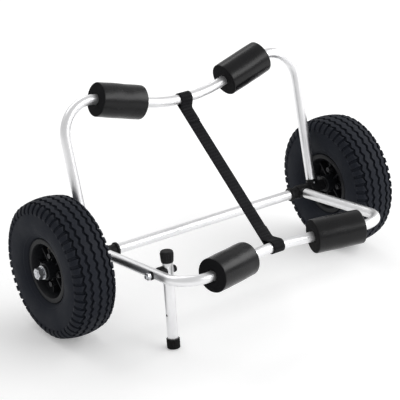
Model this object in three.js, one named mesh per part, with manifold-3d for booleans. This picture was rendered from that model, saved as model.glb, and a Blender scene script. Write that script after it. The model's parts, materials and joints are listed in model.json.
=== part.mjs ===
// Folding two-wheeled cart for carrying a kayak. Millimetres, +Z up.
// +X runs along the axle, the low front frame reaches towards -Y, and the ground is Z = 0.
import * as THREE from 'three';
import { mergeVertices } from 'three/addons/utils/BufferGeometryUtils.js';
import Module from 'manifold-3d';

const wasm = await Module();
wasm.setup();

// Clearances between pieces, and how far a cutting tool runs past what it cuts
const seatGap = 0.3;
const turnGap = 0.3;
const wrapGap = 0.9;
const cutOverrun = 4;

// Tube stock of the frames, the axle sleeve and the stand
const tubeDiameter = 19;
const tubeWall = 1.5;
const standDiameter = 20;

// Where the tube of every leg begins, on the neck of its eye
const legTubeFromAxle = 17;

// Front frame: a low U whose crossbar dips in the middle
const frontHalfSpan = 229.4;
const frontReach = 252.9;
const frontCornerRadius = 50;
const frontSagRadius = 227;
const frontSlope = degrees(14.4);
const frontFlare = degrees(0.25);
const frontPitch = degrees(173.57);

// Back frame: a taller U that stands up from the axle
const backReach = 279.7;
const backCornerRadius = 60;
const backSagRadius = 332;
const backSlope = degrees(15.9);
const backFlare = degrees(1.3);
const backPitch = degrees(75.25);

// Axle rod and what is threaded on it, from the middle outwards
const rodDiameter = 12;
const collarLength = 18;
const collarDiameter = 22;
const collarFlangeDiameter = 27;
const collarFlangeThickness = 5;
const collarSpigotLength = 14;
const axleSpacerThickness = 8.6;
const axleSpacerDiameter = 24;
const eyeWidth = 20;
const eyeDiameter = 26;
const eyeSpigotLength = 24;
const wheelSpacerLength = 15.7;
const wheelSpacerDiameter = 21;
const washerDiameter = 26;
const washerThickness = 2.5;
const axleNutAcrossCorners = 21.9;
const axleNutThickness = 11;
const rodEndProud = 2;

// Wheel: pneumatic tyre on a two-part moulded rim with flanged bushes
const tyreDiameter = 260;
const tyreWidth = 85;
const treadWidth = 68;
const treadCrownRadius = 112;
const treadThickness = 11;
const sidewallThickness = 4.5;
const lugCount = 48;
const lugNotchDepth = 5;
const shoulderOverhang = 7.5;
const shoulderDrop = 13;
const grooveSpacing = 16.5;
const grooveWidth = 5.5;
const grooveDepth = 4.5;
const zigzagSwing = 2;
const rimFlangeDiameter = 120;
const rimFlangeOffset = 30.8;
const rimFlangeThickness = 3;
const rimSeatDiameter = 102;
const rimBarrelWall = 9;
const rimLipWidth = 10;
const rimWebThickness = 6;
const beadWidth = 6;
const hubDiameter = 32;
const hubHalfLength = 35;
const ribCount = 8;
const ribThickness = 3;
const ribFace = 19;
const bossCount = 4;
const bossCircleRadius = 27.5;
const bossDiameter = 12;
const bossFace = 20.5;
const bushDiameter = 18;
const bushLength = 24;
const bushFlangeDiameter = 25;
const bushFlangeThickness = 2;
const innerTubeClearance = 2.3;
const tubeSkin = 3;
const valveDiameter = 7;
const valveLength = 27;
const valveOffset = 13;

// Foam pads on the two crossbars
const padDiameter = 64;
const padLength = 95;
const padEdge = 1.5;
const padFromBend = 0;

// Webbing strap between the crossbars
const strapWidth = 25;
const strapThickness = 1.8;
const strapSewnReach = 40;

// Stand on the left leg of the front frame
const standPivotBelowBend = 35.4;
const standLean = degrees(3.97);
const standTopAbovePivot = 35.7;
const standFootWall = 4;
const standFootHeight = 18;
const standFootDiameter = 24.4;
const standCapDiameter = 25;
const standCapLength = 25;
const standCapTopWall = 2.5;
const standCapRibCount = 14;
const standCapRibDepth = 1.1;
const standPinHoleDiameter = 5;
const standPinHoleBelowPivot = 84;
const saddleDiameter = 21;
const saddleDepth = 4;
const legSaddleThickness = 3.1;
const standSaddleThickness = 3.1;
const outerSaddleDiameter = 16;
const outerSaddleThickness = 2;
const outerSaddleDepth = 2.5;
const standBoltDiameter = 8;
const standBoltHeadDiameter = 13;
const standBoltHeadHeight = 5;
const standBoltEndProud = 3;
const standNutAcrossCorners = 15;
const standNutThickness = 6.5;
const boltCapDiameter = 18;
const boltCapWall = 2;

// Section of the tyre, as shares of its half width and of its height above the rim seat
const widestShare = 0.54;
const liningTopShares = [0.52, 0.83];
const innerTubeTopShares = [0.5, 0.8];

// Facets
const tubeSides = 10;
const boreSides = 6;
const roundSides = 12;
const smallSides = 8;
const padSides = 16;
const wheelSides = 20;
const cornerSteps = 6;
const sagSteps = 6;
const loopSteps = 12;

// Derived sizes used by more than one piece
const tubeRadius = tubeDiameter / 2;
const tubeBore = tubeRadius - tubeWall;
const standRadius = standDiameter / 2;
const rodRadius = rodDiameter / 2;
const tyreRadius = tyreDiameter / 2;
const axleHeight = tyreRadius;
const axleTubeHalfLength = frontHalfSpan - eyeWidth / 2 - seatGap - collarLength - seatGap;
const axleSpacerStart = frontHalfSpan + eyeWidth / 2 + seatGap;
const backHalfSpan = axleSpacerStart + axleSpacerThickness + seatGap + eyeWidth / 2;
const wheelSpacerStart = backHalfSpan + eyeWidth / 2 + seatGap;
const bushFaceOffset = hubHalfLength + seatGap + bushFlangeThickness;
const wheelTrack = wheelSpacerStart + wheelSpacerLength + seatGap + bushFaceOffset;
const washerStart = wheelTrack + bushFaceOffset + seatGap;
const axleNutStart = washerStart + washerThickness + seatGap;
const rodHalfLength = axleNutStart + axleNutThickness + rodEndProud;
const standPivotReach = frontReach - frontCornerRadius - standPivotBelowBend;
const beadHeel = rimFlangeOffset - rimFlangeThickness - seatGap;
const rimBarrelRadius = rimSeatDiameter / 2 - rimBarrelWall;
const tyreSeat = rimSeatDiameter / 2 + seatGap;
const tyreHeight = tyreRadius - tyreSeat;
const tyreWidest = tyreSeat + tyreHeight * widestShare;

const alloy = finish(0xc9ccd0, 0.35, 0.9);
const zinc = finish(0xb9bcc0, 0.4, 0.9);
const plastic = finish(0x17181a, 0.5, 0);
const rubber = finish(0x1d2026, 0.85, 0);
const foam = finish(0x2a2a2d, 0.7, 0);
const webbing = finish(0x18181b, 0.9, 0);
const brass = finish(0xb59a5a, 0.4, 0.9);

// The two ends of the axle: a piece made for the right is turned half round for the left
const ends = [['left', Math.PI], ['right', 0]];

function degrees(angle) {
  return THREE.MathUtils.degToRad(angle);
}

function finish(color, roughness, metalness) {
  return new THREE.MeshStandardMaterial({ color, roughness, metalness });
}

function addPiece(group, name, geometry, material) {
  const mesh = new THREE.Mesh(geometry, material);
  mesh.name = name;
  group.add(mesh);
  return mesh;
}

// Merges equal vertices and drops the empty triangles that a turned shape has at its poles.
function weld(geometry) {
  const bare = new THREE.BufferGeometry();
  bare.setAttribute('position', geometry.getAttribute('position'));
  bare.setIndex(geometry.getIndex());
  const merged = mergeVertices(bare);
  const corners = merged.getIndex().array;
  const kept = [];
  for (let i = 0; i < corners.length; i += 3) {
    const [a, b, c] = corners.subarray(i, i + 3);
    if (a !== b && b !== c && c !== a) kept.push(a, b, c);
  }
  merged.setIndex(kept);
  return merged;
}

function solidOf(geometry) {
  const welded = weld(geometry);
  const vertProperties = new Float32Array(welded.getAttribute('position').array);
  const triVerts = new Uint32Array(welded.getIndex().array);
  return new wasm.Manifold(new wasm.Mesh({ numProp: 3, vertProperties, triVerts }));
}

function geometryOf(solid) {
  const mesh = solid.getMesh();
  const geometry = new THREE.BufferGeometry();
  geometry.setAttribute('position', new THREE.BufferAttribute(mesh.vertProperties, 3));
  geometry.setIndex(new THREE.BufferAttribute(mesh.triVerts, 1));
  return geometry;
}

function joined(...geometries) {
  const solids = geometries.map(solidOf);
  return geometryOf(solids.reduce((whole, next) => whole.add(next)));
}

function cut(geometry, ...tools) {
  const solids = tools.map(solidOf);
  return geometryOf(solids.reduce((whole, next) => whole.subtract(next), solidOf(geometry)));
}

// The corner radius of a many-sided hole whose flats clear a round piece of this radius.
function clearing(radius, gap, sides) {
  return (radius + gap) / Math.cos(Math.PI / sides);
}

// The radius of a round piece that sits inside a many-sided bore.
function fitting(boreRadius, sides) {
  return boreRadius * Math.cos(Math.PI / sides) - seatGap;
}

// Turns an outline of [radius, place along X] about the X axis.
function turned(outline, sides) {
  const points = outline.map(([radius, along]) => new THREE.Vector2(radius, along));
  return new THREE.LatheGeometry(points, sides).rotateZ(-Math.PI / 2);
}

function bar(radius, from, to, sides) {
  return turned([[0, from], [radius, from], [radius, to], [0, to]], sides);
}

function sleeve(radius, bore, from, to, sides) {
  return turned([[bore, from], [radius, from], [radius, to], [bore, to], [bore, from]], sides);
}

function ringPoints(radius, sides) {
  const angles = Array.from({ length: sides }, (_, i) => (2 * Math.PI * i) / sides);
  return angles.map((angle) => new THREE.Vector2(radius * Math.cos(angle), radius * Math.sin(angle)));
}

function tubeShape(radius, bore) {
  const shape = new THREE.Shape(ringPoints(radius, tubeSides));
  shape.holes.push(new THREE.Path(ringPoints(bore, boreSides)));
  return shape;
}

// Where a bend of the tube is after a share of its length: straight, or an arc that turns left.
function poseAlong(pose, bend, share) {
  const travelled = bend.length * share;
  if (!bend.turn) {
    const x = pose.x + travelled * Math.cos(pose.heading);
    const y = pose.y + travelled * Math.sin(pose.heading);
    return { x, y, heading: pose.heading };
  }
  const radius = bend.length / bend.turn;
  const heading = pose.heading + bend.turn * share;
  const x = pose.x + radius * (Math.sin(heading) - Math.sin(pose.heading));
  const y = pose.y - radius * (Math.cos(heading) - Math.cos(pose.heading));
  return { x, y, heading };
}

// Centreline of a bent tube, flat in XY, written as a bending sheet of straights and arcs.
class BentLine extends THREE.Curve {
  constructor(start, bends) {
    super();
    this.bends = bends;
    this.starts = [start];
    for (const bend of bends) this.starts.push(poseAlong(this.starts.at(-1), bend, 1));
    this.steps = bends.reduce((sum, bend) => sum + bend.steps, 0);
  }

  poseAt(t) {
    let step = t * this.steps;
    let i = 0;
    while (i < this.bends.length - 1 && step > this.bends[i].steps) step -= this.bends[i++].steps;
    return poseAlong(this.starts[i], this.bends[i], step / this.bends[i].steps);
  }

  getPoint(t, target = new THREE.Vector3()) {
    const pose = this.poseAt(t);
    return target.set(pose.x, pose.y, 0);
  }

  getPointAt(t, target) {
    return this.getPoint(t, target);
  }

  getTangentAt(t, target = new THREE.Vector3()) {
    const { heading } = this.poseAt(t);
    return target.set(Math.cos(heading), Math.sin(heading), 0);
  }
}

// A U frame flat in XY: X across the cart, Y out from the axle along the legs.
function uFrame({ halfSpan, reach, cornerRadius, sagRadius, slope, flare }) {
  const cornerTurn = Math.PI / 2 + flare + slope;
  const cornerUp = reach - cornerRadius;
  const legRun = (cornerUp - cornerRadius * Math.sin(flare)) / Math.cos(flare);
  const cornerAcross = halfSpan + legRun * Math.sin(flare) - cornerRadius * Math.cos(flare);
  const straightRun = (cornerAcross - (sagRadius + cornerRadius) * Math.sin(slope)) / Math.cos(slope);
  const sagHalfRun = sagRadius * slope;
  const sagRise = sagRadius * (1 - Math.cos(slope));
  const apex = cornerUp + cornerRadius * Math.cos(slope) - straightRun * Math.sin(slope) - sagRise;
  const leg = { length: legRun - legTubeFromAxle, turn: 0, steps: 1 };
  const corner = { length: cornerRadius * cornerTurn, turn: -cornerTurn, steps: cornerSteps };
  const straight = { length: straightRun, turn: 0, steps: 1 };
  const sag = { length: 2 * sagHalfRun, turn: 2 * slope, steps: sagSteps };
  const start = {
    x: -legTubeFromAxle * Math.sin(flare) - halfSpan,
    y: legTubeFromAxle * Math.cos(flare),
    heading: Math.PI / 2 + flare,
  };
  const line = new BentLine(start, [leg, corner, straight, sag, straight, corner, leg]);
  // Place and tilt of the right-hand straight of the crossbar, this far along it from the middle
  const onCrossbar = (fromMiddle) => {
    const run = fromMiddle - sagHalfRun;
    const x = sagRadius * Math.sin(slope) + run * Math.cos(slope);
    const y = apex + sagRise + run * Math.sin(slope);
    return { x, y, tilt: slope };
  };
  const padPlace = onCrossbar(sagHalfRun + straightRun - padLength / 2 - padFromBend);
  return { line, apex, padPlace, legAcross: (y) => halfSpan + y * Math.tan(flare) };
}

function tubeAlong(line) {
  const shape = tubeShape(tubeRadius, tubeBore);
  return new THREE.ExtrudeGeometry(shape, { steps: line.steps, extrudePath: line });
}

// A bar along Y, leaning outwards by the flare of the leg that it stands for.
function legBar(radius, halfSpan, flare, from, to, sides) {
  const tool = bar(radius, from, to, sides).rotateZ(Math.PI / 2 - flare);
  return tool.translate(halfSpan, 0, 0);
}

const front = uFrame({
  halfSpan: frontHalfSpan,
  reach: frontReach,
  cornerRadius: frontCornerRadius,
  sagRadius: frontSagRadius,
  slope: frontSlope,
  flare: frontFlare,
});
const back = uFrame({
  halfSpan: backHalfSpan,
  reach: backReach,
  cornerRadius: backCornerRadius,
  sagRadius: backSagRadius,
  slope: backSlope,
  flare: backFlare,
});

const cart = new THREE.Group();
const axleGroup = new THREE.Group();
const frontGroup = new THREE.Group();
const backGroup = new THREE.Group();
cart.add(axleGroup, frontGroup, backGroup);
for (const group of [axleGroup, frontGroup, backGroup]) group.position.z = axleHeight;
frontGroup.rotation.x = frontPitch;
backGroup.rotation.x = backPitch;

// Where the stand pivots, and the stack of saddles between its tube and the leg
const standPivotAcross = front.legAcross(standPivotReach);
const legFace = standPivotAcross - tubeRadius - seatGap;
const saddleFace = legFace - legSaddleThickness;
const standSaddleFace = saddleFace - seatGap;
const standAcross = standSaddleFace - standSaddleThickness - seatGap - standRadius;

makeFrontFrame();
makeBackFrame();
makeAxle();
makePads('front', frontGroup, front.padPlace);
makePads('back', backGroup, back.padPlace);
makeStrap();
makeStandClamp();
makeStand();
makeWheel('left', -1);
makeWheel('right', 1);
standOnOrigin();

function makeFrontFrame() {
  const boltHole = clearing(standBoltDiameter / 2, seatGap, smallSides);
  const boltTool = bar(boltHole, -frontHalfSpan - tubeDiameter, 0, smallSides);
  boltTool.translate(0, standPivotReach, 0);
  addPiece(frontGroup, 'front_frame_tube', cut(tubeAlong(front.line), boltTool), alloy);
  addLegEyes(frontGroup, 'front_leg_plug', frontHalfSpan, frontFlare);
}

function makeBackFrame() {
  addPiece(backGroup, 'back_frame_tube', tubeAlong(back.line), alloy);
  addLegEyes(backGroup, 'back_leg_eye', backHalfSpan, backFlare);
}

function addLegEyes(group, name, halfSpan, flare) {
  for (const [side, turn] of ends) {
    const eye = addPiece(group, `${name}_${side}`, legEye(halfSpan, flare), plastic);
    eye.rotation.y = turn;
  }
}

// Plastic eye that carries a leg on the axle rod, with a spigot up inside the tube
function legEye(halfSpan, flare) {
  const barrel = bar(eyeDiameter / 2, -eyeWidth / 2, eyeWidth / 2, roundSides);
  barrel.translate(halfSpan, 0, 0);
  const neckTop = legTubeFromAxle - seatGap;
  const spigotTop = legTubeFromAxle + eyeSpigotLength;
  const spigot = fitting(tubeBore, boreSides);
  const neck = legBar(tubeRadius, halfSpan, flare, 0, neckTop, tubeSides);
  const stem = legBar(spigot, halfSpan, flare, 0, spigotTop, smallSides);
  const rodHole = clearing(rodRadius, turnGap, roundSides);
  const rodTool = bar(rodHole, halfSpan - eyeWidth, halfSpan + eyeWidth, roundSides);
  return cut(joined(barrel, neck, stem), rodTool);
}

function makeAxle() {
  addPiece(axleGroup, 'axle_rod', bar(rodRadius, -rodHalfLength, rodHalfLength, roundSides), zinc);
  const half = axleTubeHalfLength;
  addPiece(axleGroup, 'axle_tube', sleeve(tubeRadius, tubeBore, -half, half, tubeSides), alloy);
  for (const [side, turn] of ends) {
    const collar = addPiece(frontGroup, `axle_collar_${side}`, axleCollar(), plastic);
    const spacer = addPiece(frontGroup, `axle_spacer_${side}`, axleSpacer(), plastic);
    collar.rotation.y = turn;
    spacer.rotation.y = turn;
    const wheelSpacer = addPiece(axleGroup, `wheel_spacer_${side}`, makeWheelSpacer(), plastic);
    const washer = addPiece(axleGroup, `wheel_washer_${side}`, wheelWasher(), zinc);
    const nut = addPiece(axleGroup, `wheel_nut_${side}`, wheelNut(), zinc);
    for (const piece of [wheelSpacer, washer, nut]) piece.rotation.z = turn;
  }
}

// Flanged bush between the axle tube and the eye of the front leg
function axleCollar() {
  const bore = clearing(rodRadius, seatGap, tubeSides);
  const body = collarDiameter / 2;
  const flange = collarFlangeDiameter / 2;
  const spigot = fitting(tubeBore, tubeSides);
  const tubeEnd = axleTubeHalfLength + seatGap;
  const outline = [
    [bore, axleTubeHalfLength - collarSpigotLength],
    [spigot, axleTubeHalfLength - collarSpigotLength],
    [spigot, tubeEnd],
    [flange, tubeEnd],
    [flange, tubeEnd + collarFlangeThickness],
    [body, tubeEnd + collarFlangeThickness],
    [body, tubeEnd + collarLength],
    [bore, tubeEnd + collarLength],
    [bore, axleTubeHalfLength - collarSpigotLength],
  ];
  return turned(outline, tubeSides);
}

function axleSpacer() {
  const bore = clearing(rodRadius, seatGap, tubeSides);
  const end = axleSpacerStart + axleSpacerThickness;
  return sleeve(axleSpacerDiameter / 2, bore, axleSpacerStart, end, tubeSides);
}

function makeWheelSpacer() {
  const bore = clearing(rodRadius, seatGap, tubeSides);
  const end = wheelSpacerStart + wheelSpacerLength;
  return sleeve(wheelSpacerDiameter / 2, bore, wheelSpacerStart, end, tubeSides);
}

function wheelWasher() {
  const bore = clearing(rodRadius, seatGap, tubeSides);
  return sleeve(washerDiameter / 2, bore, washerStart, washerStart + washerThickness, tubeSides);
}

function wheelNut() {
  return hexNut(axleNutAcrossCorners / 2, rodRadius, axleNutStart, axleNutThickness);
}

function hexNut(cornerRadius, threadRadius, from, thickness) {
  const hole = clearing(threadRadius, seatGap, roundSides);
  const tool = bar(hole, from - cutOverrun, from + thickness + cutOverrun, roundSides);
  return cut(bar(cornerRadius, from, from + thickness, 6), tool);
}

function makePads(frameName, group, place) {
  const bore = clearing(tubeRadius, wrapGap, padSides);
  const radius = padDiameter / 2;
  const half = padLength / 2;
  const outline = [
    [bore, -half], [radius - padEdge, -half], [radius, padEdge - half],
    [radius, half - padEdge], [radius - padEdge, half], [bore, half], [bore, -half],
  ];
  for (const [side, sign] of [['left', -1], ['right', 1]]) {
    const pad = addPiece(group, `${frameName}_pad_${side}`, turned(outline, padSides), foam);
    pad.position.set(sign * place.x, place.y, 0);
    pad.rotation.z = sign * place.tilt;
  }
}

function makeStrap() {
  const backBar = new THREE.Vector2(back.apex * Math.cos(backPitch), back.apex * Math.sin(backPitch));
  const frontBar = new THREE.Vector2(front.apex * Math.cos(frontPitch), front.apex * Math.sin(frontPitch));
  const along = frontBar.clone().sub(backBar);
  const span = along.length();
  along.normalize();
  const inside = tubeRadius + wrapGap;
  const outside = inside + strapThickness;
  const tip = (strapSewnReach * outside) / inside;
  const backLoop = addPiece(axleGroup, 'strap_loop_back', strapLoop(inside, outside), webbing);
  const frontLoop = addPiece(axleGroup, 'strap_loop_front', strapLoop(inside, outside), webbing);
  const bandLength = span - 2 * (tip + seatGap);
  const strip = new THREE.BoxGeometry(bandLength, strapThickness, strapWidth);
  strip.translate(span / 2, inside + strapThickness / 2, 0);
  const band = addPiece(axleGroup, 'strap_band', strip, webbing);
  const below = new THREE.Vector3(0, -along.y, along.x);
  const forwards = new THREE.Vector3(0, along.x, along.y);
  layAlong(backLoop, backBar, forwards, below);
  layAlong(band, backBar, forwards, below);
  layAlong(frontLoop, frontBar, forwards.clone().negate(), below);
}

// Places a piece at a crossbar with its X along the strap and its Y on the side of the axle.
function layAlong(piece, crossbar, forwards, below) {
  const across = forwards.clone().cross(below);
  const basis = new THREE.Matrix4().makeBasis(forwards, below, across);
  piece.quaternion.setFromRotationMatrix(basis);
  piece.position.set(0, crossbar.x, crossbar.y);
}

// Webbing round the crossbar and back to where it is sewn to itself, seen from the side
function strapLoop(inside, outside) {
  const shape = new THREE.Shape(dropOutline(outside, (strapSewnReach * outside) / inside));
  shape.holes.push(new THREE.Path(dropOutline(inside, strapSewnReach)));
  const loop = new THREE.ExtrudeGeometry(shape, { depth: strapWidth, bevelEnabled: false });
  return loop.translate(0, 0, -strapWidth / 2);
}

function dropOutline(radius, reach) {
  const sweep = Math.PI + 2 * Math.atan2(radius, reach);
  const steps = Array.from({ length: loopSteps + 1 }, (_, i) => i / loopSteps);
  const arc = steps.map((share) => {
    const angle = Math.PI / 2 + sweep * share;
    return new THREE.Vector2(radius * Math.cos(angle), radius * Math.sin(angle));
  });
  return [...arc, new THREE.Vector2(reach, radius)];
}

// Bolt, nut and saddles that clamp the stand to the left leg, laid out along the bolt
function makeStandClamp() {
  const clamp = new THREE.Group();
  clamp.position.set(0, standPivotReach, 0);
  frontGroup.add(clamp);
  const hole = clearing(standBoltDiameter / 2, seatGap, smallSides);
  const legTool = legBar(clearing(tubeRadius, seatGap, tubeSides), standPivotAcross, frontFlare,
    -saddleDiameter, saddleDiameter, tubeSides).rotateY(Math.PI);
  const legSide = sleeve(saddleDiameter / 2, hole, -legFace - saddleDepth, -saddleFace, roundSides);
  addPiece(clamp, 'stand_leg_saddle', cut(legSide, legTool), plastic);
  const outerFace = standPivotAcross + tubeRadius + seatGap;
  const outerEnd = outerFace + outerSaddleThickness;
  const outer = sleeve(outerSaddleDiameter / 2, hole, -outerEnd, outerSaddleDepth - outerFace, roundSides);
  addPiece(clamp, 'stand_outer_saddle', cut(outer, legTool), plastic);
  const nutStart = outerEnd + seatGap;
  const nut = hexNut(standNutAcrossCorners / 2, standBoltDiameter / 2,
    -nutStart - standNutThickness, standNutThickness);
  addPiece(clamp, 'stand_nut', nut, zinc);
  const boltEnd = nutStart + standNutThickness + standBoltEndProud;
  const headFace = standRadius + seatGap - standAcross;
  addPiece(clamp, 'stand_bolt', standBolt(-boltEnd, headFace), zinc);
  addPiece(clamp, 'stand_bolt_cap', boltCap(headFace), plastic);
}

function standBolt(end, headFace) {
  const shank = standBoltDiameter / 2;
  const head = standBoltHeadDiameter / 2;
  const outline = [
    [0, end], [shank, end], [shank, headFace], [head, headFace],
    [head, headFace + standBoltHeadHeight], [0, headFace + standBoltHeadHeight],
  ];
  return turned(outline, smallSides);
}

function boltCap(headFace) {
  const bore = clearing(standBoltHeadDiameter / 2, seatGap, roundSides);
  const radius = boltCapDiameter / 2;
  const floor = headFace + standBoltHeadHeight + seatGap;
  const top = floor + boltCapWall;
  const outline = [
    [bore, headFace], [radius, headFace], [radius, floor - boltCapWall / 2],
    [radius - boltCapWall, top], [0, top], [0, floor], [bore, floor], [bore, headFace],
  ];
  return turned(outline, roundSides);
}

// The stand swings about the bolt: Z runs up its tube, and the pivot is the origin
function makeStand() {
  const stand = new THREE.Group();
  const pivotHeight = axleHeight + standPivotReach * Math.sin(frontPitch);
  stand.position.set(-standAcross, standPivotReach * Math.cos(frontPitch), pivotHeight);
  stand.rotation.x = -standLean;
  cart.add(stand);
  const footRadius = standFootDiameter / 2;
  const soleBelow = (pivotHeight - footRadius * Math.sin(standLean)) / Math.cos(standLean);
  const tubeBottom = soleBelow - standFootWall - seatGap;
  addPiece(stand, 'stand_tube', standTube(tubeBottom), alloy);
  addPiece(stand, 'stand_foot', standFoot(soleBelow), plastic);
  addPiece(stand, 'stand_top_cap', standCap(), plastic);
  const hole = clearing(standBoltDiameter / 2, seatGap, smallSides);
  const from = standRadius + seatGap + standSaddleThickness;
  const block = sleeve(saddleDiameter / 2, hole, -from, saddleDepth - standRadius, roundSides);
  const tool = upright(bar(clearing(standRadius, seatGap, roundSides),
    -saddleDiameter, saddleDiameter, roundSides));
  addPiece(stand, 'stand_tube_saddle', cut(block, tool), plastic);
}

// Turns a shape made along X so that it runs up Z.
function upright(geometry) {
  return geometry.rotateY(-Math.PI / 2);
}

function standTube(below) {
  const bore = standRadius - tubeWall;
  const tube = upright(sleeve(standRadius, bore, -below, standTopAbovePivot, roundSides));
  const boltHole = clearing(standBoltDiameter / 2, turnGap, smallSides);
  const boltTool = bar(boltHole, -standDiameter, standDiameter, smallSides);
  const pinTool = bar(standPinHoleDiameter / 2, -standDiameter, standDiameter, smallSides);
  return cut(tube, boltTool, pinTool.translate(0, 0, -standPinHoleBelowPivot));
}

function standFoot(soleBelow) {
  const bore = clearing(standRadius, seatGap, roundSides);
  const radius = standFootDiameter / 2;
  const floor = standFootWall - soleBelow;
  const rim = standFootHeight - soleBelow;
  const outline = [
    [0, -soleBelow], [radius, -soleBelow], [radius, rim], [bore, rim], [bore, floor], [0, floor],
  ];
  return upright(turned(outline, roundSides));
}

// Grip cap with moulded ribs up its side
function standCap() {
  const radius = standCapDiameter / 2;
  const count = standCapRibCount * 2;
  const outline = ringPoints(radius, count).map((point, i) => {
    return i % 2 ? point.setLength(radius - standCapRibDepth) : point;
  });
  const top = standTopAbovePivot + seatGap + standCapTopWall;
  const cap = new THREE.ExtrudeGeometry(new THREE.Shape(outline),
    { depth: standCapLength, bevelEnabled: false });
  cap.translate(0, 0, top - standCapLength);
  const bore = clearing(standRadius, seatGap, roundSides);
  const floor = standTopAbovePivot + seatGap;
  return cut(cap, upright(bar(bore, floor - standCapLength - cutOverrun, floor, roundSides)));
}

// A wheel is made with +X pointing outwards, and the left one is turned half round.
function makeWheel(side, sign) {
  const wheel = new THREE.Group();
  wheel.position.set(sign * wheelTrack, 0, axleHeight);
  wheel.rotation.z = sign < 0 ? Math.PI : 0;
  cart.add(wheel);
  addPiece(wheel, `tyre_${side}`, tyre(), rubber);
  addPiece(wheel, `inner_tube_${side}`, innerTube(), rubber);
  addPiece(wheel, `rim_outer_${side}`, rimHalf(true), plastic);
  const inner = addPiece(wheel, `rim_inner_${side}`, rimHalf(false), plastic);
  addPiece(wheel, `wheel_bush_outer_${side}`, wheelBush(), plastic);
  const innerBush = addPiece(wheel, `wheel_bush_inner_${side}`, wheelBush(), plastic);
  inner.rotation.z = Math.PI;
  innerBush.rotation.z = Math.PI;
  addPiece(wheel, `valve_stem_${side}`, valveTool(valveDiameter / 2), brass);
}

// Joins rings of points about the X axis, each with its own count, into one closed skin.
function skinOfRings(rings) {
  const positions = [];
  const starts = [];
  for (const { count, place } of rings) {
    starts.push(positions.length / 3);
    for (let i = 0; i < count; i++) {
      const angle = (2 * Math.PI * i) / count;
      const [along, radius] = place(i);
      positions.push(along, radius * Math.cos(angle), radius * Math.sin(angle));
    }
  }
  const corners = [];
  for (let k = 0; k < rings.length; k++) {
    const next = (k + 1) % rings.length;
    stitch(corners, starts[k], rings[k].count, starts[next], rings[next].count);
  }
  const skin = new THREE.BufferGeometry();
  skin.setAttribute('position', new THREE.Float32BufferAttribute(positions, 3));
  skin.setIndex(corners);
  return skin;
}

function stitch(corners, startA, countA, startB, countB) {
  let a = 0;
  let b = 0;
  while (a < countA || b < countB) {
    const atA = startA + (a % countA);
    const atB = startB + (b % countB);
    if (b === countB || (a < countA && (a + 1) * countB <= (b + 1) * countA)) {
      a += 1;
      corners.push(atA, startA + (a % countA), atB);
    } else {
      b += 1;
      corners.push(atA, startB + (b % countB), atB);
    }
  }
}

function plainRing(along, radius, count = wheelSides) {
  return { count, place: () => [along, radius] };
}

function lugRing(even, odd) {
  return { count: lugCount * 2, place: (i) => (i % 2 ? odd : even) };
}

function crownRadiusAt(along) {
  return tyreRadius - along ** 2 / (2 * treadCrownRadius);
}

// One side of the tyre from the bead toe out to the tread, as rings at positive X
function tyreSide() {
  const half = tyreWidth / 2;
  const shoulder = treadWidth / 2;
  const shoulderRadius = crownRadiusAt(shoulder);
  const notchTop = [shoulder - lugNotchDepth / 2, shoulderRadius - lugNotchDepth];
  return [
    plainRing(beadHeel - beadWidth, tyreSeat),
    plainRing(beadHeel, tyreSeat),
    plainRing(beadHeel, rimFlangeDiameter / 2 + seatGap),
    plainRing(half, tyreWidest),
    plainRing(shoulder + shoulderOverhang, shoulderRadius - shoulderDrop, lugCount),
    lugRing([shoulder, shoulderRadius], notchTop),
  ];
}

function tyreLining() {
  const half = tyreWidth / 2;
  return [
    plainRing(beadHeel - sidewallThickness, rimFlangeDiameter / 2),
    plainRing(half - sidewallThickness, tyreWidest),
    plainRing(half * liningTopShares[0], tyreSeat + tyreHeight * liningTopShares[1]),
  ];
}

function mirroredRing({ count, place }) {
  return { count, place: (i) => [-place(i)[0], place(i)[1]] };
}

function grooveRings(centre) {
  const swing = (i) => (i % 2 ? -zigzagSwing : zigzagSwing);
  const edge = (offset) => ({
    count: lugCount * 2,
    place: (i) => {
      const along = centre + offset + swing(i);
      return [along, crownRadiusAt(along)];
    },
  });
  const bottom = plainRing(centre, crownRadiusAt(centre) - grooveDepth);
  return [edge(-grooveWidth / 2), bottom, edge(grooveWidth / 2)];
}

function tyre() {
  const side = tyreSide();
  const lining = tyreLining();
  const grooves = [-grooveSpacing, 0, grooveSpacing].flatMap(grooveRings);
  return skinOfRings([
    ...side.map(mirroredRing),
    ...grooves,
    ...side.toReversed(),
    ...lining,
    ...lining.map(mirroredRing).toReversed(),
  ]);
}

// Inner tube: a hollow ring beside the lining of the tyre, pierced where the valve enters
function innerTube() {
  const half = tyreWidth / 2;
  const widest = half - sidewallThickness - innerTubeClearance;
  const lean = (half - beadHeel) / (tyreWidest - rimFlangeDiameter / 2);
  const outside = [
    [tyreSeat, widest - lean * (tyreWidest - tyreSeat)],
    [tyreWidest, widest],
    [tyreSeat + tyreHeight * innerTubeTopShares[1], half * innerTubeTopShares[0]],
  ];
  const shifts = [[tubeSkin, -tubeSkin], [0, -tubeSkin], [-tubeSkin, -tubeSkin]];
  const inside = outside.map(([radius, along], i) => [radius + shifts[i][0], along + shifts[i][1]]);
  const tool = valveTool(clearing(valveDiameter / 2, seatGap, smallSides));
  return cut(ringOf(outside, wheelSides), ringOf(inside, roundSides), tool);
}

// Turns half a section of [radius, place along X], mirrored onto the other side, into a ring.
function ringOf(half, sides) {
  const other = half.map(([radius, along]) => [radius, -along]);
  return turned([...other.toReversed(), ...half, other.at(-1)].toReversed(), sides);
}

// A bar from inside the tube in towards the hub, between two ribs of the rim
function valveTool(radius) {
  const end = rimSeatDiameter / 2 + valveDiameter;
  const stem = upright(bar(radius, end - valveLength, end, smallSides));
  return stem.translate(valveOffset, 0, 0).rotateX(Math.PI / ribCount);
}

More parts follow.
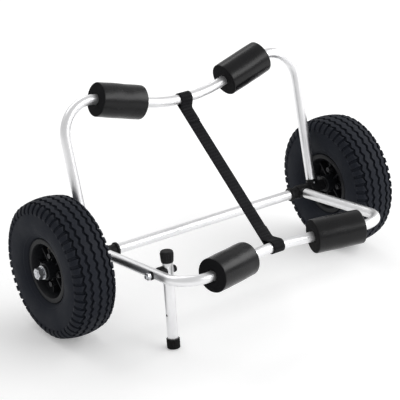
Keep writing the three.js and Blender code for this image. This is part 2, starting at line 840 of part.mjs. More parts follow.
// Half of the rim, from the split plane out, with its hub, barrel and tyre flange
function rimHalf(outer) {
  const bore = clearing(bushDiameter / 2, seatGap, wheelSides);
  const split = seatGap / 2;
  const flangeFoot = rimFlangeOffset - rimFlangeThickness;
  const flange = rimFlangeDiameter / 2;
  const seat = rimSeatDiameter / 2;
  const outline = [
    [bore, split],
    [seat, split],
    [seat, flangeFoot],
    [flange, flangeFoot],
    [flange, rimFlangeOffset],
    [flange - rimLipWidth, rimFlangeOffset],
    [rimBarrelRadius, rimWebThickness],
    [hubDiameter / 2, rimWebThickness],
    [hubDiameter / 2, hubHalfLength],
    [bore, hubHalfLength],
    [bore, split],
  ];
  const body = joined(turned(outline, wheelSides), ...rimRibs(), ...rimBosses());
  return outer ? cut(body, valveTool(clearing(valveDiameter / 2, seatGap, smallSides))) : body;
}

// Ribs that run from the hub to the barrel across the open face of the rim
function rimRibs() {
  const inner = hubDiameter / 2 - ribThickness;
  const outer = rimBarrelRadius + ribThickness;
  const foot = rimWebThickness / 2;
  return Array.from({ length: ribCount }, (_, i) => {
    const rib = new THREE.BoxGeometry(ribFace - foot, outer - inner, ribThickness);
    rib.translate((ribFace + foot) / 2, (inner + outer) / 2, 0);
    return rib.rotateX((2 * Math.PI * i) / ribCount);
  });
}

// Round bosses on every second rib, where the two halves are bolted together
function rimBosses() {
  return Array.from({ length: bossCount }, (_, i) => {
    const boss = bar(bossDiameter / 2, rimWebThickness / 2, bossFace, smallSides);
    return boss.translate(0, bossCircleRadius, 0).rotateX((2 * Math.PI * i) / bossCount);
  });
}

function wheelBush() {
  const bore = clearing(rodRadius, turnGap, smallSides);
  const face = hubHalfLength + seatGap;
  const outline = [
    [bore, hubHalfLength - bushLength],
    [bushDiameter / 2, hubHalfLength - bushLength],
    [bushDiameter / 2, face],
    [bushFlangeDiameter / 2, face],
    [bushFlangeDiameter / 2, face + bushFlangeThickness],
    [bore, face + bushFlangeThickness],
    [bore, hubHalfLength - bushLength],
  ];
  return turned(outline, smallSides);
}

// Moves the cart so that the origin is at the middle of its footprint, on the ground.
function standOnOrigin() {
  cart.updateMatrixWorld(true);
  const box = new THREE.Box3().setFromObject(cart, true);
  const centre = box.getCenter(new THREE.Vector3());
  cart.position.set(-centre.x, -centre.y, -box.min.z);
}

export default cart;
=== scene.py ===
# %% [markdown]
# A folding kayak cart, dressed for a studio picture. The lesson starts from solids that are already
# the right size and in the right place, and gives each piece a smooth shape and a finish of its own.

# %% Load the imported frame
import json
import math

import bmesh
import bpy
from mathutils import Matrix, Quaternion, Vector, noise

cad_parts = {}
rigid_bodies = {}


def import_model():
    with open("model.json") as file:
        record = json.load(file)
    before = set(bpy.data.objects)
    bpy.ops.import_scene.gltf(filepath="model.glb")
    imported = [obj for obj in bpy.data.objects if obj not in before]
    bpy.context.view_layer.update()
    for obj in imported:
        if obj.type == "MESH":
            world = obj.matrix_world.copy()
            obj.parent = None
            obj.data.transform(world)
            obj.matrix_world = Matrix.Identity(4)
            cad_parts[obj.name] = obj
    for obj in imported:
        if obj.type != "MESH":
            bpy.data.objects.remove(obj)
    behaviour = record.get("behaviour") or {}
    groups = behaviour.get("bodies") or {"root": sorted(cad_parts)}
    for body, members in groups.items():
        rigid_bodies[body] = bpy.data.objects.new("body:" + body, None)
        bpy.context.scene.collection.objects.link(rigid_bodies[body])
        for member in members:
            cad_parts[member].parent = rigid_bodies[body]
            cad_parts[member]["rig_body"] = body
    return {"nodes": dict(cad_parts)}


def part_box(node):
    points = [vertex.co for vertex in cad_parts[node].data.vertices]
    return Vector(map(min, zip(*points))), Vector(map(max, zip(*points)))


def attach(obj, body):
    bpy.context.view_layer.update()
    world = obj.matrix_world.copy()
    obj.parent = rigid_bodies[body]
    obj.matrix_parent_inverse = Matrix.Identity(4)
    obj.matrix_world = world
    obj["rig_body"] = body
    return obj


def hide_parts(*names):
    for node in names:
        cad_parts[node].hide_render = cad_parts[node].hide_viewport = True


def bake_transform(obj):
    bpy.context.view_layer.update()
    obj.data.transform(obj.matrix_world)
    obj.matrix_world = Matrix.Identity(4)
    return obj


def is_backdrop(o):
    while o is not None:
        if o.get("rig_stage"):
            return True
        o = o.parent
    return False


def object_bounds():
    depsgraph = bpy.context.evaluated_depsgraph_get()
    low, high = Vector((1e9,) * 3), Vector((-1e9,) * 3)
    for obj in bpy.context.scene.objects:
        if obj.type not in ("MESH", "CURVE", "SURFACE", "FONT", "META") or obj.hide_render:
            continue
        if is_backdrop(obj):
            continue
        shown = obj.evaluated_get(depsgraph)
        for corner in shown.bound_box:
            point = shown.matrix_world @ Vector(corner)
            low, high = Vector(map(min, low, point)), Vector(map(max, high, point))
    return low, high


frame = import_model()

cad_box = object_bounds()
print("the solids fill", [tuple(round(c, 4) for c in corner) for corner in cad_box])

# %% [markdown]
# Everything here is in metres, but a maker thinks in millimetres. One factor turns drawing sizes into
# scene sizes. The axle and the wheels are measured from the frame, so nothing has to be fitted by eye.

# %% Where the axle and the wheels are
MM = 0.001
rod_low, rod_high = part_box("axle_rod")
axle = Vector((0, (rod_low.y + rod_high.y) / 2, (rod_low.z + rod_high.z) / 2))
tyre_low, tyre_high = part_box("tyre_right")
wheel_track = (tyre_low.x + tyre_high.x) / 2
tyre_radius = (tyre_high.z - tyre_low.z) / 2 / MM
print("axle at", tuple(axle), "track", wheel_track, "tyre radius", tyre_radius)

# %% [markdown]
# The picture is taken with a long lens from the front left, a little above the cart. The camera is set
# by the angles that it looks along and by its distance, and turned a touch about its own line of sight.

# %% Camera
look_azimuth, look_elevation, look_roll = math.radians(35.386), math.radians(23.041), math.radians(-1.517)
look_at = Vector((0.0011, 0.0935, 0.1670))
look_from = 3.551
lens, sensor = 169.2, 36.0
level = math.cos(look_elevation)
sight = Vector((math.sin(look_azimuth) * level, math.cos(look_azimuth) * level, -math.sin(look_elevation)))
camera = bpy.data.objects.new("camera", bpy.data.cameras.new("camera"))
camera.data.lens, camera.data.sensor_width = lens, sensor
camera.location = look_at - sight * look_from
camera.rotation_mode = "QUATERNION"
camera.rotation_quaternion = sight.to_track_quat("-Z", "Y") @ Quaternion((0, 0, 1), look_roll)
bpy.context.scene.collection.objects.link(camera)
bpy.context.scene.camera = camera
bpy.context.scene.view_settings.view_transform = "Standard"
print("camera at", tuple(round(c, 3) for c in camera.location))

# %% [markdown]
# A shader node takes its numbers from sockets. One helper places a node and fills its sockets with values
# or with other nodes' outputs, so that each finish below reads as a short recipe. The other helpers are
# steps that every finish needs: a noise that lies still on the piece, a mix of two colours, and a lift.

# %% Helpers for shader nodes
def node(tree, kind, sockets=None, **settings):
    """Places one node and fills its sockets."""
    made = tree.nodes.new(kind)
    for key, value in settings.items():
        setattr(made, key, value)
    for key, value in (sockets or {}).items():
        if isinstance(value, bpy.types.NodeSocket):
            tree.links.new(value, made.inputs[key])
        else:
            made.inputs[key].default_value = value
    return made


def noise_on(tree, scale, detail, **sockets):
    """Noise in the piece's own object coordinates."""
    place = node(tree, "ShaderNodeTexCoord").outputs["Object"]
    filled = {"Vector": place, "Scale": scale, "Detail": detail, **sockets}
    return node(tree, "ShaderNodeTexNoise", filled).outputs["Fac"]


MIX_FIRST, MIX_SECOND, MIX_RESULT = 6, 7, 2   # the colour sockets of a Mix node


def mixed(tree, share, first, second):
    """One colour turning into another where a mask says so."""
    sockets = {"Factor": share, MIX_FIRST: first, MIX_SECOND: second}
    return node(tree, "ShaderNodeMix", sockets, data_type="RGBA").outputs[MIX_RESULT]


def calculated(tree, operation, *numbers, **settings):
    return node(tree, "ShaderNodeMath", dict(enumerate(numbers)), operation=operation, **settings).outputs[0]


def lifted(tree, height, strength, distance):
    """A normal raised by a height, at most by a distance in mm."""
    sockets = {"Height": height, "Strength": strength, "Distance": distance * MM}
    return node(tree, "ShaderNodeBump", sockets).outputs["Normal"]


# %% [markdown]
# An effect that several finishes share is a node group with named sockets. It is built once, and each
# material sets the sockets to its own values.

# %% Helper for node groups
def new_group(name, numbers, colours=(), outputs=()):
    """Starts a group, and returns it with its inputs and a way to fill its outputs."""
    tree = bpy.data.node_groups.new(name, "ShaderNodeTree")
    for socket, value in numbers.items():
        tree.interface.new_socket(name=socket, socket_type="NodeSocketFloat").default_value = value
    for socket in colours:
        tree.interface.new_socket(name=socket, socket_type="NodeSocketColor")
    for socket, kind in outputs:
        tree.interface.new_socket(name=socket, in_out="OUTPUT", socket_type="NodeSocket" + kind)
    given, out = node(tree, "NodeGroupInput").outputs, node(tree, "NodeGroupOutput").inputs
    return tree, given, lambda socket, value: tree.links.new(value, out[socket])


# %% [markdown]
# Moulded plastic, rubber and foam are never quite smooth. The grain group lays a fine noise over a piece
# in its own object coordinates, and lifts the surface by it.

# %% Grain group
grain, given, give = new_group("fine grain", {"Scale": 900.0, "Depth": 0.3, "Softness": 0.5},
                               outputs=[("Normal", "Vector")])
specks = noise_on(grain, given["Scale"], 3.0, Roughness=given["Softness"])
give("Normal", lifted(grain, specks, given["Depth"], 0.4))
print("grain group:", len(grain.nodes), "nodes")

# %% [markdown]
# Nothing that has been handled has one even colour. The marks group mixes two colours by a broad noise,
# and gives the same clouds as a roughness between two values.

# %% Handling marks group
marks, given, give = new_group("handling marks", {"Scale": 25.0, "Low Roughness": 0.4, "High Roughness": 0.6},
                               colours=["Color", "Worn Color"],
                               outputs=[("Color", "Color"), ("Roughness", "Float")])
clouds = noise_on(marks, given["Scale"], 6.0)
spread = node(marks, "ShaderNodeMapRange", {"Value": clouds, "From Min": 0.35, "From Max": 0.7})
shine = node(marks, "ShaderNodeMapRange", {"Value": spread.outputs["Result"], "To Min": given["Low Roughness"],
                                           "To Max": given["High Roughness"]})
give("Color", mixed(marks, spread.outputs["Result"], given["Color"], given["Worn Color"]))
give("Roughness", shine.outputs["Result"])
print("marks group:", len(marks.nodes), "nodes")

# %% [markdown]
# Corners rub first. The edge group reads how sharply the mesh turns at each point and breaks that line
# up with noise, so that a rib or a rim lip shows a thin pale edge.

# %% Edge wear group
edges, given, give = new_group("edge wear", {"Reach": 0.06, "Amount": 0.5},
                               colours=["Color", "Edge Color"], outputs=[("Color", "Color")])
FLAT = 0.5   # what Pointiness gives on a flat face
turn = node(edges, "ShaderNodeNewGeometry").outputs["Pointiness"]
sharpest = calculated(edges, "ADD", given["Reach"], FLAT)
line = node(edges, "ShaderNodeMapRange", {"Value": turn, "From Min": FLAT, "From Max": sharpest})
broken = calculated(edges, "MULTIPLY", line.outputs["Result"], noise_on(edges, 180.0, 4.0))
share = calculated(edges, "MULTIPLY", broken, given["Amount"], use_clamp=True)
give("Color", mixed(edges, share, given["Color"], given["Edge Color"]))
print("edge group:", len(edges.nodes), "nodes")

# %% [markdown]
# Drawn tube carries faint lines along its length, also round its bends. Each tube therefore keeps an
# attribute called straight: where every point was before the tube was bent. Noise stretched along that
# attribute makes the lines.

# %% Drawn lines group
drawn, given, give = new_group("drawn lines", {"Across": 1500.0, "Along": 12.0, "Depth": 0.1},
                               outputs=[("Normal", "Vector")])
before = node(drawn, "ShaderNodeAttribute", attribute_name="straight").outputs["Vector"]
size = node(drawn, "ShaderNodeCombineXYZ", {0: given["Across"], 1: given["Across"], 2: given["Along"]})
stretched = node(drawn, "ShaderNodeVectorMath", {0: before, 1: size.outputs[0]}, operation="MULTIPLY")
lines = node(drawn, "ShaderNodeTexNoise", {"Vector": stretched.outputs[0], "Scale": 1.0, "Detail": 4.0})
give("Normal", lifted(drawn, lines.outputs["Fac"], given["Depth"], 0.1))
print("drawn lines group:", len(drawn.nodes), "nodes")

# %% [markdown]
# Webbing is woven in a herringbone: ribs that run slantwise from the middle to both edges. A zigzag of
# the place across the band is added to the place along it, and a sine of the sum makes the ribs.

# %% Weave group
weave, given, give = new_group("herringbone weave", {"Rib": 900.0, "Column": 260.0, "Depth": 0.6},
                               outputs=[("Normal", "Vector"), ("Mask", "Float")])
before = node(weave, "ShaderNodeAttribute", attribute_name="straight").outputs["Vector"]
parts = node(weave, "ShaderNodeSeparateXYZ", {0: before}).outputs
zigzag = calculated(weave, "PINGPONG", calculated(weave, "MULTIPLY", parts[0], given["Column"]), 0.5)
row = calculated(weave, "MULTIPLY", parts[1], given["Rib"])
rib = calculated(weave, "SINE", calculated(weave, "MULTIPLY_ADD", zigzag, 6.0, row))
height = node(weave, "ShaderNodeMapRange", {"Value": rib, "From Min": -1.0}).outputs["Result"]
give("Normal", lifted(weave, height, given["Depth"], 0.3))
# The same height also goes out as the mask of a painted highlight on the raised ribs.
give("Mask", height)
print("weave group:", len(weave.nodes), "nodes")

# %% [markdown]
# A finish is a Principled shader fed by these groups. Every finish starts from the marks group, and a
# surface group, a worn edge or a painted highlight on raised ribs is laid over it. What is the same all
# over the piece, such as Metallic, is set on the shader's own socket.

# %% Helpers for finishes
def finish(name, colour, worn, low, high, metallic=0.0, clouds=25.0, **shader_values):
    """A material whose colour and roughness drift between two values."""
    material = bpy.data.materials.new(name)
    material.use_nodes = True
    tree = material.node_tree
    shader = tree.nodes["Principled BSDF"].inputs
    shader["Metallic"].default_value = metallic
    for socket, value in shader_values.items():
        shader[socket.replace("_", " ")].default_value = value
    drift = node(tree, "ShaderNodeGroup", {"Scale": clouds, "Low Roughness": low, "High Roughness": high,
                                           "Color": (*colour, 1), "Worn Color": (*worn, 1)}, node_tree=marks)
    tree.links.new(drift.outputs["Roughness"], shader["Roughness"])
    tree.links.new(drift.outputs["Color"], shader["Base Color"])
    return material


def textured(material, group, **values):
    """Lays a surface group over a finish."""
    tree = material.node_tree
    layer = node(tree, "ShaderNodeGroup", values, node_tree=group)
    tree.links.new(layer.outputs["Normal"], tree.nodes["Principled BSDF"].inputs["Normal"])
    return material


def edged(material, colour, amount):
    """Adds a pale worn line along the corners of a finish."""
    tree = material.node_tree
    base = tree.nodes["Principled BSDF"].inputs["Base Color"]
    layer = node(tree, "ShaderNodeGroup", {"Color": base.links[0].from_socket, "Edge Color": (*colour, 1),
                                           "Amount": amount}, node_tree=edges)
    tree.links.new(layer.outputs["Color"], base)
    return material


def flecked(material, group, colour):
    """Paints the raised part of a surface group in a second, paler colour: a painted highlight on the ribs."""
    tree = material.node_tree
    base = tree.nodes["Principled BSDF"].inputs["Base Color"]
    layer = next(made for made in tree.nodes if made.type == "GROUP" and made.node_tree == group)
    tree.links.new(mixed(tree, layer.outputs["Mask"], base.links[0].from_socket, (*colour, 1)), base)
    return material


# %% [markdown]
# The metals come first: satin drawn tube, zinc plate, blackened bolts and the brass of the valves. Their
# colours are written as the real surface has them, because the studio light shows a colour as written.

# %% Metal finishes
tube_metal = textured(finish("satin tube", (0.90, 0.90, 0.91), (0.84, 0.84, 0.85), 0.34, 0.42, 1.0),
                      drawn, Depth=0.12)
zinc = textured(finish("zinc plate", (0.70, 0.71, 0.73), (0.42, 0.43, 0.45), 0.3, 0.5, 1.0, 160.0),
                grain, Scale=1400.0, Depth=0.25)
black_zinc = textured(finish("blackened bolts", (0.050, 0.050, 0.053), (0.025, 0.025, 0.027), 0.38, 0.5,
                             1.0, 160.0), grain, Scale=1400.0, Depth=0.25)
brass = textured(finish("plain brass", (0.70, 0.53, 0.26), (0.55, 0.42, 0.22), 0.3, 0.45, 1.0),
                 grain, Scale=1500.0, Depth=0.1)
print("metals:", len(bpy.data.materials))

# %% [markdown]
# Everything else is black, and no two blacks are alike. Plastic shines a little, tyre rubber is dull and
# bluish, the skin of the foam is smooth and its cut ends are matte, and the raised ribs of the webbing
# carry a painted highlight.

# %% Black finishes
plastic = edged(textured(finish("moulded black plastic", (0.0042, 0.0042, 0.0047), (0.0078, 0.0078, 0.0085),
                                0.4, 0.55, Specular_IOR_Level=0.2), grain, Scale=1600.0, Depth=0.3),
                (0.030, 0.030, 0.033), 0.4)
rim_plastic = edged(textured(finish("satin rim plastic", (0.0080, 0.0086, 0.0105), (0.013, 0.0138, 0.016),
                                    0.4, 0.52, Specular_IOR_Level=0.17), grain, Scale=1800.0, Depth=0.2),
                    (0.018, 0.0185, 0.020), 0.35)
tyre_rubber = edged(textured(finish("tyre rubber", (0.0095, 0.0120, 0.0185), (0.013, 0.0155, 0.023),
                                    0.6, 0.78, Specular_IOR_Level=0.16), grain, Scale=1100.0, Depth=0.5),
                    (0.040, 0.041, 0.047), 0.45)
foot_rubber = textured(finish("black rubber", (0.004, 0.004, 0.004), (0.009, 0.009, 0.009), 0.6, 0.8,
                              Specular_IOR_Level=0.16), grain, Scale=1300.0, Depth=0.5)
pad_foam = textured(finish("charcoal foam", (0.0022, 0.0022, 0.0028), (0.0042, 0.0042, 0.005), 0.23, 0.32,
                           clouds=14.0, Specular_IOR_Level=0.27), grain, Scale=2200.0, Depth=0.2)
cut_foam = textured(finish("cut foam", (0.0045, 0.0045, 0.0052), (0.008, 0.008, 0.009), 0.8, 0.95,
                           clouds=60.0, Specular_IOR_Level=0.14), grain, Scale=900.0, Depth=0.6)
# The paler colour on the raised ribs of the webbing is a painted highlight, not a colour of the yarn.
webbing = flecked(textured(finish("black webbing", (0.0030, 0.0030, 0.0040), (0.0050, 0.0050, 0.0062),
                                  0.6, 0.8, clouds=60.0, Specular_IOR_Level=0.12), weave),
                  weave, (0.012, 0.012, 0.014))
thread = textured(finish("bonded thread", (0.010, 0.010, 0.011), (0.018, 0.018, 0.019), 0.4, 0.5,
                         Specular_IOR_Level=0.3), grain, Scale=2500.0)
print("finishes:", len(bpy.data.materials))

# %% [markdown]
# New pieces are modelled with the operators that the menus call. An operator acts on whatever is
# selected, so each one starts from nothing selected. A finished piece has its place in its mesh.

# %% Helpers for modelling
WELD = 0.004 * MM


def let_go():
    """Leaves edit mode with nothing selected."""
    if bpy.context.mode != "OBJECT":
        bpy.ops.object.mode_set(mode="OBJECT")
    bpy.ops.object.select_all(action="DESELECT")


def take(piece):
    """Selects one piece alone."""
    let_go()
    piece.select_set(True)
    bpy.context.view_layer.objects.active = piece


def edit(piece):
    """Opens one piece in edit mode with all of it selected."""
    take(piece)
    bpy.ops.object.mode_set(mode="EDIT")
    bpy.ops.mesh.select_all(action="SELECT")


def fix_place(piece):
    """Writes a piece's place into its mesh."""
    take(piece)
    bpy.ops.object.transform_apply(location=True, rotation=True, scale=True)
    return piece


def put(piece, matrix):
    """Moves a piece and fixes it there."""
    take(piece)
    piece.matrix_world = matrix @ piece.matrix_world
    return fix_place(piece)


def close_up(piece):
    """Merges doubled points and turns every face outwards."""
    edit(piece)
    bpy.ops.mesh.remove_doubles(threshold=WELD)
    bpy.ops.mesh.normals_make_consistent(inside=False)
    let_go()


# %% [markdown]
# A modifier is applied as soon as it is set, so that a piece is always plain mesh. Two kinds come back
# again and again: a bevel that breaks the sharp edges, as every mould and tool does, and smooth shading.

# %% Helpers for edges
def apply_modifier(piece, kind, **settings):
    take(piece)
    modifier = piece.modifiers.new(kind.lower(), kind)
    for key, value in settings.items():
        setattr(modifier, key, value)
    bpy.ops.object.modifier_apply(modifier=modifier.name)
    return piece


def rounded(piece, width, segments, corner=30):
    """Rounds the edges that turn by more than a corner in degrees, by a width in mm."""
    return apply_modifier(piece, "BEVEL", width=width * MM, segments=segments, limit_method="ANGLE",
                          angle_limit=math.radians(corner))


def smooth(piece, corner=40):
    """Shades a piece smooth, except across edges that turn by more than a corner in degrees."""
    take(piece)
    bpy.ops.object.shade_smooth_by_angle(angle=math.radians(corner))
    return piece


# %% [markdown]
# What repeats is modelled once and copied, each copy with a mesh of its own. Solids that meet are fused,
# and a hole is cut by a piece of round stock, which stands for the drill.

# %% Helpers for copies and cuts
def copy_of(piece, name):
    twin = piece.copy()
    twin.data = piece.data.copy()
    twin.name = name
    bpy.context.scene.collection.objects.link(twin)
    return twin


def drop(piece):
    bpy.data.objects.remove(piece)


def joined(pieces, name):
    """Joins pieces into the first one."""
    let_go()
    for piece in pieces:
        piece.select_set(True)
    bpy.context.view_layer.objects.active = pieces[0]
    bpy.ops.object.join()
    pieces[0].name = name
    return pieces[0]


def fused(piece, other, operation="UNION"):
    """Adds another solid to a piece, or cuts it away, and drops the other."""
    apply_modifier(piece, "BOOLEAN", object=other, operation=operation, solver="EXACT")
    drop(other)
    return piece


def stock(radius, length, sides=48, centre=(0, 0, 0), turn=(0, 0, 0)):
    """Round or six-sided stock, with its sizes and its middle in mm."""
    let_go()
    bpy.ops.mesh.primitive_cylinder_add(vertices=sides, radius=radius * MM, depth=length * MM,
                                        location=[along * MM for along in centre], rotation=turn)
    return fix_place(bpy.context.object)


# %% [markdown]
# Round pieces are turned, as on a lathe. A plane merged at its middle leaves one point; the point is
# extruded along half of the section and the line is spun once round Z.

# %% Turning
def drawn_line(name, points):
    """A line through points in mm, open in edit mode with all of it selected."""
    let_go()
    bpy.ops.mesh.primitive_plane_add(size=MM, location=[along * MM for along in points[0]])
    piece = bpy.context.object
    piece.name = name
    edit(piece)
    bpy.ops.mesh.merge(type="CENTER")
    for here, there in zip(points, points[1:]):
        step = [(b - a) * MM for a, b in zip(here, there)]
        bpy.ops.mesh.extrude_vertices_move(TRANSFORM_OT_translate={"value": step})
    bpy.ops.mesh.select_all(action="SELECT")
    return piece


def turned(name, outline, sides=48):
    """Spins an outline of (radius, height) in mm about Z."""
    piece = drawn_line(name, [(radius, 0, height) for radius, height in outline])
    bpy.ops.mesh.spin(steps=sides, angle=2 * math.pi, center=(0, 0, 0), axis=(0, 0, 1))
    close_up(piece)
    return fix_place(piece)


def arc(centre, radius, start, end, steps=6):
    """Points of a round corner in a section, from one angle to another in degrees."""
    turns = [math.radians(start + (end - start) * i / steps) for i in range(steps + 1)]
    return [(centre[0] + radius * math.cos(t), centre[1] + radius * math.sin(t)) for t in turns]


def mirrored(outline, shared=0):
    """An outline and its mirror image below height 0, less the last points that both would have."""
    return outline + [(radius, -height) for radius, height in reversed(outline[:len(outline) - shared])]


def note_straight(piece, place_of=lambda point: point):
    """Notes on every point where it lies on the straight stock."""
    note = piece.data.attributes.new("straight", "FLOAT_VECTOR", "POINT")
    for index, vertex in enumerate(piece.data.vertices):
        note.data[index].vector = place_of(vertex.co)


# %% [markdown]
# Three places carry everything: the axle, the plane of each bent frame, and each wheel. A matrix for
# each takes a piece made at the origin to its seat. Pieces along the axle are made standing on Z.

# %% Places
SIGNS = {"left": -1, "right": 1}   # which way each side lies along X
front_pitch, back_pitch = math.radians(173.57), math.radians(75.25)
lie_along_x = Matrix.Rotation(math.pi / 2, 4, "Y")


def on_axle(side):
    return Matrix.Translation(axle) @ Matrix.Rotation(math.pi if side == "left" else 0, 4, "Z") @ lie_along_x


def on_wheel(side):
    return on_axle(side) @ Matrix.Translation((0, 0, wheel_track))


def in_frame(pitch):
    return Matrix.Translation(axle) @ Matrix.Rotation(pitch, 4, "X")


def up_the_frame(pitch, reach):
    """The point in the middle of a frame that is so many mm from the axle."""
    return axle + Vector((0, reach * math.cos(pitch), reach * math.sin(pitch))) * MM


# %% [markdown]
# A finished piece gets its finish, rides on the body of its solid and takes the solid's place. What sits
# on the axle or in the wheels exists twice: it is made on the right, and a copy is turned round.

# %% Helpers for handing over
def hand_over(piece, material, solid, body=None, replaces=True):
    """Gives a finished piece its finish and body, and may let it replace its solid."""
    piece.data.materials.clear()
    piece.data.materials.append(material)
    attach(piece, body or frame["nodes"][solid]["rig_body"])
    if replaces:
        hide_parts(solid)
    print(piece.name, "has", len(piece.data.polygons), "faces")
    return piece


def both_sides(piece, name, material, place, solid_stem, body_end=None, replaces=True):
    """Puts a piece at the right end and a copy at the left."""
    left = copy_of(piece, name + "_left")
    piece.name = name + "_right"
    for side, made in (("left", left), ("right", piece)):
        put(made, place(side))
        hand_over(made, material, solid_stem + side, side + body_end if body_end else None, replaces)


# %% [markdown]
# Each frame is one length of tube bent cold. Like a tube bender, it starts from a bending sheet: a leg, a
# corner, a rise to the wide bend in the middle, and the same back. Six sizes give all of it.

# %% Bending sheet of a U frame
LEG_START = 17.0   # how far from the axle the tube begins
FRONT_SPAN, FRONT_SLOPE, FRONT_FLARE = 229.4, 14.4, 0.25   # half width in mm, angles in degrees
BACK_SPAN, BACK_SLOPE, BACK_FLARE = 258.6, 15.9, 1.3


def u_frame(half_span, reach, corner, sag, slope, flare):
    """Sizes in mm and degrees to the start, the (length, turn) bends and the middle of a U frame."""
    slope, flare = math.radians(slope), math.radians(flare)
    turn = math.pi / 2 + flare + slope
    corner_up = reach - corner
    leg = (corner_up - corner * math.sin(flare)) / math.cos(flare)
    across = half_span + leg * math.sin(flare) - corner * math.cos(flare)
    straight = (across - (sag + corner) * math.sin(slope)) / math.cos(slope)
    apex = corner_up + corner * math.cos(slope) - straight * math.sin(slope) - sag * (1 - math.cos(slope))
    start = (-LEG_START * math.sin(flare) - half_span, LEG_START * math.cos(flare), math.pi / 2 + flare)
    leg_bend, corner_bend, rise = (leg - LEG_START, 0), (corner * turn, -turn), (straight, 0)
    bends = [leg_bend, corner_bend, rise, (2 * sag * slope, 2 * slope), rise, corner_bend, leg_bend]
    return start, bends, apex


front_start, front_bends, front_apex = u_frame(FRONT_SPAN, 252.9, 50, 227, FRONT_SLOPE, FRONT_FLARE)
back_start, back_bends, back_apex = u_frame(BACK_SPAN, 279.7, 60, 332, BACK_SLOPE, BACK_FLARE)
print("front frame apex", front_apex, "back frame apex", back_apex)

# %% [markdown]
# The tube is modelled the way it is made: a ring at one foot, extruded for every straight and spun for
# every bend. Each new ring notes how far along the tube it is, which the drawn lines need.

# %% Note of the straight tube
TUBE_SIDES = 40


def mark_ring(piece, along, first=False):
    """Notes on the selected ring where its points are on the straight tube."""
    sheet = bmesh.from_edit_mesh(piece.data)
    layers = sheet.verts.layers.float_vector
    layer = layers.new("straight") if first else layers.get("straight")
    ring = [vertex for vertex in sheet.verts if vertex.select]
    centre = sum((vertex.co for vertex in ring), Vector()) / len(ring)
    for vertex in ring:
        if first:
            off = vertex.co - centre
            vertex[layer] = (off.x, max(off.y, off.z, key=abs), 0)
        vertex[layer] = (vertex[layer][0], vertex[layer][1], along * MM)
    bmesh.update_edit_mesh(piece.data)


# %% [markdown]
# A few narrower rings at both feet round the ends off. A bend is spun in single steps, each about the
# centre of its bend, and the place and heading of the ring are carried along as the sheet is read.

# %% Bent tube
TUBE_RADIUS, TUBE_FOOT = 9.5, 8.3
FOOT_RINGS = ((0.36, 0.84), (0.48, 0.42), (0.60, 0.18))   # how far to the next ring, how much wider it is
BEND_STEP = 5   # degrees


def bent_tube(name, start, bends):
    """Sweeps a ring through a bending sheet that lies flat in XY, in mm."""
    let_go()
    x, y, heading = start
    travelled, now = 0, TUBE_FOOT
    bpy.ops.mesh.primitive_circle_add(vertices=TUBE_SIDES, radius=now * MM, location=(x * MM, y * MM, 0),
                                      rotation=(math.pi / 2, 0, heading - math.pi / 2))
    piece = fix_place(bpy.context.object)
    piece.name = name
    edit(piece)
    mark_ring(piece, 0, first=True)
    bpy.ops.mesh.edge_face_add()
    bpy.ops.mesh.select_all(action="SELECT")

    def forward(length):
        nonlocal x, y, travelled
        step = (length * math.cos(heading) * MM, length * math.sin(heading) * MM, 0)
        bpy.ops.mesh.extrude_region_move(TRANSFORM_OT_translate={"value": step})
        x, y = x + step[0] / MM, y + step[1] / MM
        travelled += length
        mark_ring(piece, travelled)

    def grow(factor):
        bpy.ops.transform.resize(value=(factor,) * 3, center_override=(x * MM, y * MM, 0))

    for depth, more in FOOT_RINGS:
        forward(depth)
        grow((now + more) / now)
        now += more
    grow(TUBE_RADIUS / now)   # the narrow rings end a little over the tube's own radius
    feet = sum(depth for depth, _ in FOOT_RINGS)
    for index, (length, turn) in enumerate(bends):
        if not turn:
            forward(length - (feet if index in (0, len(bends) - 1) else 0))
            continue
        steps = max(6, round(abs(math.degrees(turn)) / BEND_STEP))
        radius = length / turn
        for _ in range(steps):
            centre = (x - radius * math.sin(heading), y + radius * math.cos(heading))
            bpy.ops.mesh.spin(steps=1, angle=-turn / steps, center=(centre[0] * MM, centre[1] * MM, 0),
                              axis=(0, 0, 1))
            heading += turn / steps
            x, y = centre[0] + radius * math.sin(heading), centre[1] - radius * math.cos(heading)
            travelled += length / steps
            mark_ring(piece, travelled)
    for depth, more in reversed(FOOT_RINGS):
        forward(depth)
        grow((now - more) / now)
        now -= more
    close_up(piece)
    return smooth(piece)


# %% [markdown]
# The two frames come from one recipe, stand at their own pitch about the axle, and are held against
# their solids: what is printed is how far each side of the box is off, in metres.

# %% Front and back frames
for name, start, bends, pitch in (("front", front_start, front_bends, front_pitch),
                                  ("back", back_start, back_bends, back_pitch)):
    tube = put(bent_tube(name + "_tube", start, bends), in_frame(pitch))
    hand_over(tube, tube_metal, name + "_frame_tube")
    low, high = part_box(name + "_frame_tube")
    corners = [Vector(corner) for corner in tube.bound_box]
    print("off by", [round(min(c[i] for c in corners) - low[i], 4) for i in range(3)],
          [round(max(c[i] for c in corners) - high[i], 4) for i in range(3)])

# %% [markdown]
# The axle is a long threaded rod with a sleeve of the same tube over its middle. The sleeve is turned as
# a closed ring section, so that it has a real wall. Threads are fine rings near the ends of the rod. Only
# these ends have a surface: the outline stops at the innermost thread on each side, so the rod is open
# there and has nothing between, under the sleeve and the wheels. A whole rod would join the two stops.

# %% Axle rod and sleeve
def along_axle(piece):
    return put(piece, Matrix.Translation(axle) @ lie_along_x)


def threaded(radius, start, end, pitch=1.5, depth=0.55):
    """Outline points of a screw thread, from start to end."""
    points = []
    for i in range(int((end - start) / pitch)):
        points += [(radius - depth, start + i * pitch), (radius, start + (i + 0.4) * pitch),
                   (radius, start + (i + 0.6) * pitch)]
    return points


ROD_END = 375.6
half_rod = threaded(6, 352, ROD_END - 1) + [(4.8, ROD_END), (0, ROD_END)]
rod = along_axle(turned("axle_rod_dressed", list(reversed(mirrored(half_rod))), 32))
hand_over(smooth(rod), zinc, "axle_rod")

